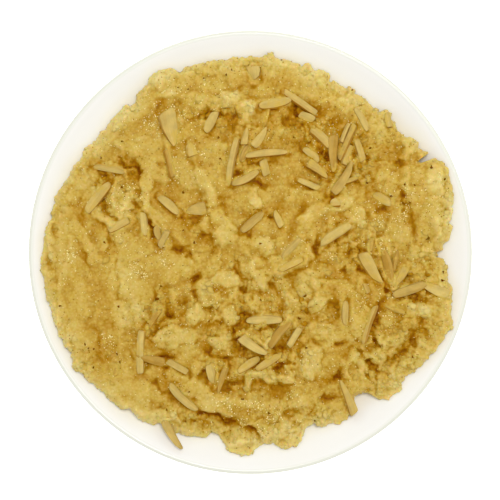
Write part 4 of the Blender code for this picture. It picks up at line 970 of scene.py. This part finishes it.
def heap_semolina():
    """Shapes a fine sheet into the heap's upper face, gives it clumps, crumbs and grains, and closes
    it with a belly that follows the dish."""
    look = bpy.context.scene.halwa_heap
    select_only(None)
    bpy.ops.mesh.primitive_grid_add(x_subdivisions=SHEET_CELLS, y_subdivisions=SHEET_CELLS, size=2)
    heap = bpy.context.object
    heap.name = "semolina_heap"
    flat = read_places(heap.data)
    side = int(round(math.sqrt(len(flat))))
    x, y, height, turn = sheet_places(flat[:, 0], flat[:, 1])
    write_places(heap.data, np.stack([x, y, height], axis=-1))

    crumbly = crumbly_share(x, y)
    near_foot = np.clip(1 - (turn / (math.pi / 2) - 0.75) / 0.25, 0, 1)
    weight_group(heap, "crumbles", crumbly * near_foot)
    weight_group(heap, "all", near_foot)
    displace(heap, "crumbs", "VORONOI", look.crumb, CRUMB_RELIEF, "crumbles", 0.35)
    displace(heap, "grains", "CLOUDS", look.grain, GRAIN_RELIEF, "all", 0.5)
    apply_modifiers(heap)
    heap.vertex_groups.clear()

    places = read_places(heap.data)
    places[:, 2] = np.maximum(places[:, 2], wall_height(np.hypot(places[:, 0], places[:, 1])) + GAP)
    write_places(heap.data, places)
    level = places[:, 2].reshape(side, side)
    # Painted shade in the hollows and painted light on the rises, from each height against its blurred
    # surroundings
    tone = np.zeros(level.shape)
    for reach, rise, share in SHADES:
        bulge = np.tanh((level - blurred(level, reach)) / (rise * MM))
        tone += share * np.where(bulge > 0, RISE_SHARE * bulge, bulge)
    # The painted relief shade and light fade out down the edge's cliff
    tone = tone.ravel() * np.clip(1 - turn / 0.5, 0, 1)
    wander_x, wander_y = wandered(x, y)
    # Painted light on the raised lumps
    moist = np.zeros(len(x))
    for lump in LIT_LUMPS:
        moist = np.maximum(moist, blob(wander_x, wander_y, lump))
    # Painted light on the outer band of the heap
    outward = np.clip((np.hypot(x, y) / broad_radius(np.arctan2(y, x)) - 0.87) / 0.12, 0, 1)
    # Roasting, with painted light on some lumps and painted shade in some pits
    for area in ROAST_LIGHT_AND_SHADE:
        tone += area[5] * blob(x, y, area, 2)
    tone += TONE_LEVEL + TONE_LUMP_LIGHT * moist + TONE_RIM_LIGHT * outward
    # Painted light on the edge's cliff, against the shade of its steep face
    tone += TONE_CLIFF_LIGHT * np.clip((turn - 0.2) / 0.6, 0, 1)
    for size, layer, share in STREAKS:
        tone += share * drawn_field(x, y, size * MM, layer)
    # Painted shade in the hollows, the cracks and the creases beside the almonds
    tone -= TONE_PAINTED_SHADE * painted_shade_share(x, y)
    add_value(heap.data, "tone", np.clip(tone, 0, 1))

    bpy.ops.object.mode_set(mode="EDIT")
    bpy.ops.mesh.select_mode(type="EDGE")
    bpy.ops.mesh.select_all(action="SELECT")
    bpy.ops.mesh.region_to_loop()
    reached = 1.0
    for share in BELLY_SHARES:
        bpy.ops.mesh.extrude_edges_move()
        bpy.ops.transform.resize(value=(share / reached, share / reached, 1), center_override=(0, 0, 0))
        reached = share
    bpy.ops.mesh.edge_face_add()
    bpy.ops.mesh.poke()
    bpy.ops.object.mode_set(mode="OBJECT")
    places = read_places(heap.data)
    belly = slice(side * side, None)
    places[belly, 2] = wall_height(np.hypot(places[belly, 0], places[belly, 1])) + GAP
    write_places(heap.data, places)
    bpy.ops.object.mode_set(mode="EDIT")
    bpy.ops.mesh.select_all(action="SELECT")
    bpy.ops.mesh.quads_convert_to_tris()
    bpy.ops.mesh.normals_make_consistent(inside=False)
    bpy.ops.object.mode_set(mode="OBJECT")
    bpy.ops.object.shade_smooth()
    settle(heap, "halwa", wet_semolina("wet_semolina", 1.9 * MM))


def heap_tree():
    """The finished heap, ready to be asked for its height and slope."""
    mesh = bpy.data.objects["semolina_heap"].data
    mesh.calc_loop_triangles()
    corners = np.empty(len(mesh.loop_triangles) * 3, dtype=np.int32)
    mesh.loop_triangles.foreach_get("vertices", corners)
    return BVHTree.FromPolygons(read_places(mesh).tolist(), corners.reshape(-1, 3).tolist())


def ground_under(tree, x, y):
    """Place and slope of the heap under a point, or None off the heap."""
    place, normal, face, _ = tree.ray_cast(Vector((x, y, 0.08)), Vector((0, 0, -1)))
    if place is None or place.z <= wall_height(math.hypot(x, y)) + GAP:
        return None
    return place, normal, face


def almond_line(tree, row, depth):
    """Ends of an almond's middle line: lying on the heap, biting into it and clear of the dish."""
    x0, y0, x1, y1, width, lift0, lift1 = (value * MM for value in row[1:])
    shares = [step / 8 for step in range(9)]
    places = [(x0 + (x1 - x0) * share, y0 + (y1 - y0) * share) for share in shares]
    found = [ground_under(tree, x, y) for x, y in places]
    over = [(share, hit[0].z) for share, hit in zip(shares, found) if hit]
    z0 = over[0][1] + lift0 - ALMOND_SETTLES
    z1 = over[-1][1] + lift1 - ALMOND_SETTLES
    if row[0] != "sunk":
        buried = max(ground + ALMOND_SHOWS - depth / 2 - z0 - (z1 - z0) * share for share, ground in over)
        z0, z1 = z0 + max(buried, 0), z1 + max(buried, 0)
    inner = [pair for pair in over if ALMOND_END < pair[0] < 1 - ALMOND_END] or over
    loose = min(z0 + (z1 - z0) * share + ALMOND_BITE - depth / 2 - ground for share, ground in inner)
    z0, z1 = z0 - max(loose, 0), z1 - max(loose, 0)
    low = [wall_height(math.hypot(x, y) + width / 2) + depth / 2 + ALMOND_DISH_CLEARANCE for x, y in places]
    z0 = max(z0, low[0])
    for rest, share in zip(low, shares):
        if share > ALMOND_END:
            z1 = max(z1, (rest - z0 * (1 - share)) / share)
    return Vector((x0, y0, z0)), Vector((x1, y1, z1))


def almond_blank():
    """A plain sliver 2 long, 2 wide and 2 thick with softened edges, to be bent to each almond."""
    select_only(None)
    bpy.ops.mesh.primitive_cube_add(size=2)
    blank = bpy.context.object
    bpy.ops.object.mode_set(mode="EDIT")
    bpy.ops.mesh.select_all(action="DESELECT")
    bpy.ops.object.mode_set(mode="OBJECT")
    for edge in blank.data.edges:
        first, second = (blank.data.vertices[index].co for index in edge.vertices)
        edge.select = abs(first.x - second.x) > 1
    bpy.ops.object.mode_set(mode="EDIT")
    bpy.ops.mesh.subdivide(number_cuts=9)
    bpy.ops.mesh.select_all(action="SELECT")
    bpy.ops.mesh.bisect(plane_co=(0, 0, 0), plane_no=(0, 1, 0))
    bpy.ops.object.mode_set(mode="OBJECT")
    softening = blank.modifiers.new("softened edges", "BEVEL")
    softening.width = 0.16
    softening.segments = 3
    softening.limit_method = "ANGLE"
    softening.angle_limit = math.radians(40)
    apply_modifiers(blank)
    return blank


def shape_almond(piece, row, start, stop, depth, chance):
    """Bends a blank to one sliver: its taper, its curved back, its bow, twist and roll, and its place."""
    shape, width = row[0], row[5] * ALMOND_FULLNESS * MM
    run = stop - start
    places = read_places(piece.data)
    centres = np.array([tuple(face.center) for face in piece.data.polygons])
    along = places[:, 0]
    reach = np.abs(along)
    ridge = chance.uniform(-0.55, 0.55)
    slopes = chance.uniform(0.15, 0.5), chance.uniform(0.15, 0.5)
    places[:, 1] += ridge * (1 - np.abs(places[:, 1]))
    off = places[:, 1] - ridge
    fall = np.where(off < 0, slopes[0] * -off / (1 + ridge), slopes[1] * off / (1 - ridge))
    places[:, 2] -= fall * np.clip(places[:, 2], 0, 1)
    ends = ALMOND_ENDS[shape]
    first, last = chance.uniform(*ends[:2]), chance.uniform(*ends[:2])
    blunt, sharp = chance.uniform(*ends[2:4]), chance.uniform(*ends[4:])
    tip = np.where(along < 0, blunt, sharp)
    taper = tip + (1 - tip) * np.clip(1 - reach ** 2.4, 0, 1) ** np.where(along < 0, first, last)
    if shape in ("wedge", "drop", "chip"):
        taper = taper * (0.62 - 0.38 * along) / 0.85
    straight = 0.94 - 0.25 * reach ** 6
    curved_side = chance.choice((-1, 1))
    flat_share = chance.uniform(0.35, 1.0) if shape != "bar" else 0.9
    on_back = places[:, 1] * curved_side > 0
    flat = np.minimum(straight, taper * 2)
    width_here = np.where(on_back, taper, taper * (1 - flat_share) + flat * flat_share)
    chamfer = chance.uniform(0.1, 0.4) * np.clip((places[:, 2] + 1) / 2, 0, 1)
    cut_side = chance.choice((-1, 1))
    chamfered = places[:, 1] * cut_side > 0
    across = places[:, 1] * width_here * width / 2 * np.where(chamfered, 1 - chamfer, 1 - 0.15 * chamfer)
    bow = chance.uniform(-1, 1) * (0.02 if shape == "bar" else 0.05) * run.length * (1 - along ** 2)
    arch = chance.uniform(0.0, 0.04) * run.length * (1 - along ** 2)
    thick = places[:, 2] * (0.45 + 0.55 * taper) * depth / 2
    wobble = np.array([noise.noise((a * 2.2 + row[1], row[2], b)) for a, b in zip(along, places[:, 1])])
    slant = np.where(along < 0, chance.uniform(-0.5, 0.5), chance.uniform(-0.5, 0.5)) * reach ** 4
    along = along + (slant * across + 0.4 * abs(slant) * places[:, 2] * depth / 2) / (run.length / 2)
    across = across * (1 + 0.10 * wobble) + bow
    upward = thick * (1 + 0.10 * wobble) + arch
    tilts = (14, 36) if depth > ALMOND_THICKNESS else (3, 16)
    roll = chance.choice((-1, 1)) * chance.uniform(*tilts)
    twist = math.radians(chance.uniform(-12, 12)) * along + math.radians(roll)
    side = across * np.cos(twist) - upward * np.sin(twist)
    rise = across * np.sin(twist) + upward * np.cos(twist)
    ahead = run.normalized()
    left = Vector((0, 0, 1)).cross(ahead).normalized()
    axes = np.array(Matrix((ahead, left, ahead.cross(left))))
    local = np.stack([along * run.length / 2, side, rise], axis=-1)
    add_value(piece.data, "run", along * run.length / 2)
    add_value(piece.data, "side", across)
    write_places(piece.data, local @ axes + np.array(start + run / 2))
    # Painted shade kept in the fried value: sides and bottom darker the more they turn from the window, one
    # top facet half as dark
    facing = np.array([face.normal.y for face in piece.data.polygons])
    sheltered = np.clip(0.4 - 0.8 * facing, 0, 1)
    facet = np.where((centres[:, 1] > 0) == (cut_side > 0), 0.5, 0.0)
    add_value(piece.data, "fried", np.where(centres[:, 2] < 0.8, 0.4 + 0.6 * sheltered, facet), "FACE")


def lay_almonds():
    """Copies one blank for each almond, bends it, lays it on the heap and joins them all."""
    tree = heap_tree()
    chance = random.Random(ALMOND_SEED)
    blank = almond_blank()
    pieces = []
    for number, row in enumerate(ALMONDS):
        piece = blank.copy()
        piece.data = blank.data.copy()
        bpy.context.scene.collection.objects.link(piece)
        depth = ALMOND_THICKNESS if row[5] * MM >= ALMOND_EDGE_ON else ALMOND_EDGE_DEPTH
        start, stop = almond_line(tree, row, depth)
        shape_almond(piece, row, start, stop, depth, chance)
        count = len(piece.data.vertices)
        least, most = (0, 0.25) if number in ALMOND_PALE else (0.15, 0.8)
        if number in ALMOND_BROWN:
            least, most = 0.65, 0.9
        add_value(piece.data, "tint", np.full(count, chance.uniform(least, most)))
        near = []
        for place in read_places(piece.data):
            hit = ground_under(tree, place[0], place[1])
            near.append(min(max(1 - (place[2] - hit[0].z) / MM, 0), 1) if hit else 0)
        add_value(piece.data, "sunken", np.array(near))
        coated = 0.5 if row[0] == "sunk" else chance.uniform(0.15, 0.5)
        add_value(piece.data, "coated", np.full(count, coated))
        pieces.append(piece)
    bpy.data.objects.remove(blank)
    select_only(pieces[0])
    for piece in pieces:
        piece.select_set(True)
    bpy.ops.object.join()
    almonds = bpy.context.object
    almonds.name = "almond_slivers"
    bpy.ops.object.mode_set(mode="EDIT")
    bpy.ops.mesh.select_all(action="SELECT")
    bpy.ops.mesh.normals_make_consistent(inside=False)
    bpy.ops.object.mode_set(mode="OBJECT")
    bpy.ops.object.shade_smooth_by_angle(angle=math.radians(45))
    settle(almonds, "halwa", fried_almond())


def lump_blank(subdivisions, roughness, seed):
    """A small uneven lump of radius 1, as places and triangles."""
    select_only(None)
    bpy.ops.mesh.primitive_ico_sphere_add(subdivisions=subdivisions, radius=1)
    ball = bpy.context.object
    places = read_places(ball.data)
    shift = Vector((seed * 7.1, seed * 3.3, 0))
    bulge = np.array([noise.noise(Vector(place) * 1.4 + shift) for place in places])
    places = places * (1 + roughness * bulge)[:, None]
    faces = np.array([tuple(face.vertices) for face in ball.data.polygons])
    bpy.data.objects.remove(ball)
    return places, faces


def ground_tones(spots):
    """The heap's tone under each spot, with its painted shade and light."""
    mesh = bpy.data.objects["semolina_heap"].data
    corners = np.array([mesh.loop_triangles[spot[3]].vertices[0] for spot in spots])
    values = np.empty(len(mesh.vertices), dtype=np.float32)
    mesh.attributes["tone"].data.foreach_get("value", values)
    return values[corners]


def scatter(name, blanks, spots, material, chance):
    """Joins a turned and scaled copy of a blank at each spot into one mesh; a spot is a place, a normal,
    the sizes, the face under it and a tint."""
    all_places, all_faces, values = [], [], []
    offset = 0
    counts = []
    for place, normal, sizes, _, tint in spots:
        places, faces = blanks[chance.randrange(len(blanks))]
        spin = Matrix.Rotation(chance.uniform(0, math.tau), 3, "Z")
        spin = spin @ Matrix.Rotation(chance.uniform(-0.5, 0.5), 3, "X")
        turn = np.array(normal.to_track_quat("Z", "Y").to_matrix() @ spin)
        all_places.append((places * np.array(sizes)) @ turn.T + np.array(place))
        all_faces.append(faces + offset)
        values.append(np.full(len(places), tint))
        counts.append(len(places))
        offset += len(places)
    mesh = bpy.data.meshes.new(name)
    mesh.from_pydata(np.concatenate(all_places).tolist(), [], np.concatenate(all_faces).tolist())
    add_value(mesh, "tint", np.concatenate(values))
    # The crumbs and grains take the heap's tone, with its painted shade and light
    add_value(mesh, "tone", np.repeat(ground_tones(spots), counts))
    piece = bpy.data.objects.new(name, mesh)
    bpy.context.scene.collection.objects.link(piece)
    select_only(piece)
    bpy.ops.object.shade_smooth()
    settle(piece, "halwa", material)


def random_spots(tree, chance, count, accept):
    """Places on the heap drawn at random, kept by a rule on the crumbling there."""
    tries = [(chance.uniform(-0.1, 0.1), chance.uniform(-0.1, 0.1)) for _ in range(count * 6)]
    x, y = (np.array(values) for values in zip(*tries))
    crumbly = crumbly_share(x, y)
    found = []
    for px, py, share in zip(x, y, crumbly):
        if len(found) == count:
            break
        hit = ground_under(tree, px, py)
        if hit and chance.random() < accept(share):
            found.append(hit)
    return found


def drop_crumbs():
    """Small broken lumps lying on the heap, thickest where it crumbles."""
    tree = heap_tree()
    chance = random.Random(CRUMB_SEED)
    blanks = [lump_blank(2, 0.75, seed) for seed in range(5)]
    spots = []
    for place, normal, face in random_spots(tree, chance, CRUMB_COUNT, lambda share: share ** 1.3):
        size = (0.35 + 1.0 * chance.random() ** 3) * MM
        sizes = (size * chance.uniform(0.9, 1.6), size, size * chance.uniform(0.4, 0.7))
        spots.append((place, normal, sizes, face, chance.random()))
    scatter("semolina_crumbs", blanks, spots, wet_semolina("loose_semolina", 0), chance)


def drop_grains():
    """Swollen grains that stand out of the surface, with clusters coloured bright as painted glints."""
    tree = heap_tree()
    chance = random.Random(GRAIN_SEED)
    blanks = [lump_blank(1, 0.5, seed) for seed in range(4)]
    spots = []
    for place, normal, face in random_spots(tree, chance, GRAIN_COUNT, lambda share: 0.6):
        size = chance.uniform(0.14, 0.34) * MM
        sizes = (size * chance.uniform(0.9, 1.5), size, size * 0.8)
        spots.append((place + normal * size * 0.2, normal, sizes, face, chance.uniform(0.12, 0.7)))
    # Painted glints: clusters of grains tinted towards the bright highlight colour
    for x, y, reach, clusters in PAINTED_GLINTS:
        for _ in range(clusters):
            middle_x, middle_y = (value * MM + chance.gauss(0, reach / 2) * MM for value in (x, y))
            for _ in range(chance.randint(1, 9)):
                spread = chance.uniform(0.8, 2.4) * MM
                near_x, near_y = (value + chance.gauss(0, spread) for value in (middle_x, middle_y))
                hit = ground_under(tree, near_x, near_y)
                if hit:
                    place, normal, face = hit
                    size = (0.13 + 0.22 * chance.random() ** 2) * MM
                    sizes = (size * 1.2, size, size * 0.8)
                    spots.append((place + normal * size * 0.4, normal, sizes, face, chance.uniform(0.6, 1)))
    spots = [spot for spot, tone in zip(spots, ground_tones(spots)) if tone > GRAIN_LEAST_TONE]
    scatter("swollen_grains", blanks, spots, swollen_grain(), chance)


def sprinkle_cardamom():
    """Chips of cardamom husk: those that show in their places, with finer ones between."""
    tree = heap_tree()
    chance = random.Random(FLECK_SEED)
    blanks = [lump_blank(1, 0.9, seed) for seed in range(3)]
    spots = []
    for x, y, length in FLECKS:
        hit = ground_under(tree, x * MM, y * MM)
        if hit:
            size = 0.6 * length * MM
            sizes = (size, size * chance.uniform(0.55, 0.8), size * 0.45)
            spots.append((hit[0] + hit[1] * size * 0.25, hit[1], sizes, hit[2], chance.random()))
    for place, normal, face in random_spots(tree, chance, LOOSE_FLECKS, lambda share: 0.4 + 0.6 * share):
        size = chance.uniform(0.14, 0.34) * MM
        sizes = (size, size * 0.7, size * 0.5)
        spots.append((place + normal * size * 0.3, normal, sizes, face, chance.random()))
    scatter("cardamom_flecks", blanks, spots, cardamom_husk(), chance)


def set_stage():
    """Pale floor, a soft window on the far side in an evenly lit room, and a camera straight overhead."""
    look = bpy.context.scene.halwa_stage
    select_only(None)
    bpy.ops.mesh.primitive_plane_add(size=6.0, location=(0, 0, -FLOOR_GAP))
    floor = bpy.context.object
    floor.name = "floor"
    bpy.ops.object.transform_apply(location=True, rotation=True, scale=True)
    floor.data.materials.append(opal_floor())

    world = bpy.data.worlds.new("soft_room")
    bpy.context.scene.world = world
    world.use_nodes = True
    sky = world.node_tree.nodes["Background"]
    sky.inputs["Color"].default_value = (1, 0.995, 0.985, 1)
    sky.inputs["Strength"].default_value = ROOM_LIGHT

    light = bpy.data.lights.new("window", "AREA")
    light.shape = "SQUARE"
    light.size = WINDOW_SIZE
    light.energy = WINDOW_POWER
    light.color = (1, 0.99, 0.975)
    window = bpy.data.objects.new("window", light)
    bpy.context.scene.collection.objects.link(window)
    window.location = WINDOW_PLACE
    aim = Vector((0, 0, 0.02)) - Vector(WINDOW_PLACE)
    window.rotation_euler = aim.to_track_quat("-Z", "Y").to_euler()

    camera = bpy.data.objects.new("camera", bpy.data.cameras.new("camera"))
    bpy.context.scene.collection.objects.link(camera)
    camera.data.lens = look.lens
    camera.data.sensor_width = 36.0
    camera.location = (*CAMERA_SHIFT, look.drop)
    camera.rotation_euler = (0, 0, 0)
    bpy.context.scene.camera = camera
    bpy.context.scene.view_settings.view_transform = "Standard"


class HALWA_OT_dish(bpy.types.Operator):
    """Turn the glazed porcelain dish"""
    bl_idname = "halwa.dish"
    bl_label = "Porcelain dish"

    def execute(self, context):
        turn_dish()
        return {"FINISHED"}


class HALWA_OT_heap(bpy.types.Operator):
    """Heap the cooked semolina in the dish"""
    bl_idname = "halwa.heap"
    bl_label = "Semolina heap"

    def execute(self, context):
        heap_semolina()
        return {"FINISHED"}


class HALWA_OT_almonds(bpy.types.Operator):
    """Lay the slivered almonds on the heap"""
    bl_idname = "halwa.almonds"
    bl_label = "Almond slivers"

    def execute(self, context):
        lay_almonds()
        return {"FINISHED"}


class HALWA_OT_crumbs(bpy.types.Operator):
    """Drop loose crumbs and swollen grains on the heap"""
    bl_idname = "halwa.crumbs"
    bl_label = "Crumbs and grains"

    def execute(self, context):
        drop_crumbs()
        drop_grains()
        return {"FINISHED"}


class HALWA_OT_cardamom(bpy.types.Operator):
    """Sprinkle the ground cardamom"""
    bl_idname = "halwa.cardamom"
    bl_label = "Cardamom flecks"

    def execute(self, context):
        sprinkle_cardamom()
        return {"FINISHED"}


class HALWA_OT_stage(bpy.types.Operator):
    """Set the floor, the light and the camera"""
    bl_idname = "halwa.stage"
    bl_label = "Stage"

    def execute(self, context):
        set_stage()
        return {"FINISHED"}


OPERATORS = [HALWA_OT_stage, HALWA_OT_dish, HALWA_OT_heap, HALWA_OT_almonds, HALWA_OT_crumbs,
             HALWA_OT_cardamom]


class HALWA_PT_panel(bpy.types.Panel):
    """Lists the pieces of the dish of halwa"""
    bl_label = "Suji halwa"
    bl_idname = "HALWA_PT_panel"
    bl_space_type = "VIEW_3D"
    bl_region_type = "UI"
    bl_category = "Halwa"

    def draw(self, context):
        for operator in OPERATORS:
            self.layout.operator(operator.bl_idname)
        for name, group in LOOKS.items():
            box = self.layout.box()
            for prop in group.__annotations__:
                box.prop(getattr(context.scene, name), prop)


def register():
    for group in LOOKS.values():
        bpy.utils.register_class(group)
    for name, group in LOOKS.items():
        setattr(bpy.types.Scene, name, PointerProperty(type=group))
    for shown in (*OPERATORS, HALWA_PT_panel):
        bpy.utils.register_class(shown)


def unregister():
    for shown in (HALWA_PT_panel, *reversed(OPERATORS)):
        bpy.utils.unregister_class(shown)
    for name in LOOKS:
        delattr(bpy.types.Scene, name)
    for group in reversed(list(LOOKS.values())):
        bpy.utils.unregister_class(group)


def main():
    """Registers the add-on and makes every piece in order."""
    register()
    for operator in OPERATORS:
        section, name = operator.bl_idname.split(".")
        getattr(getattr(bpy.ops, section), name)()


if __name__ == "__main__":
    main()
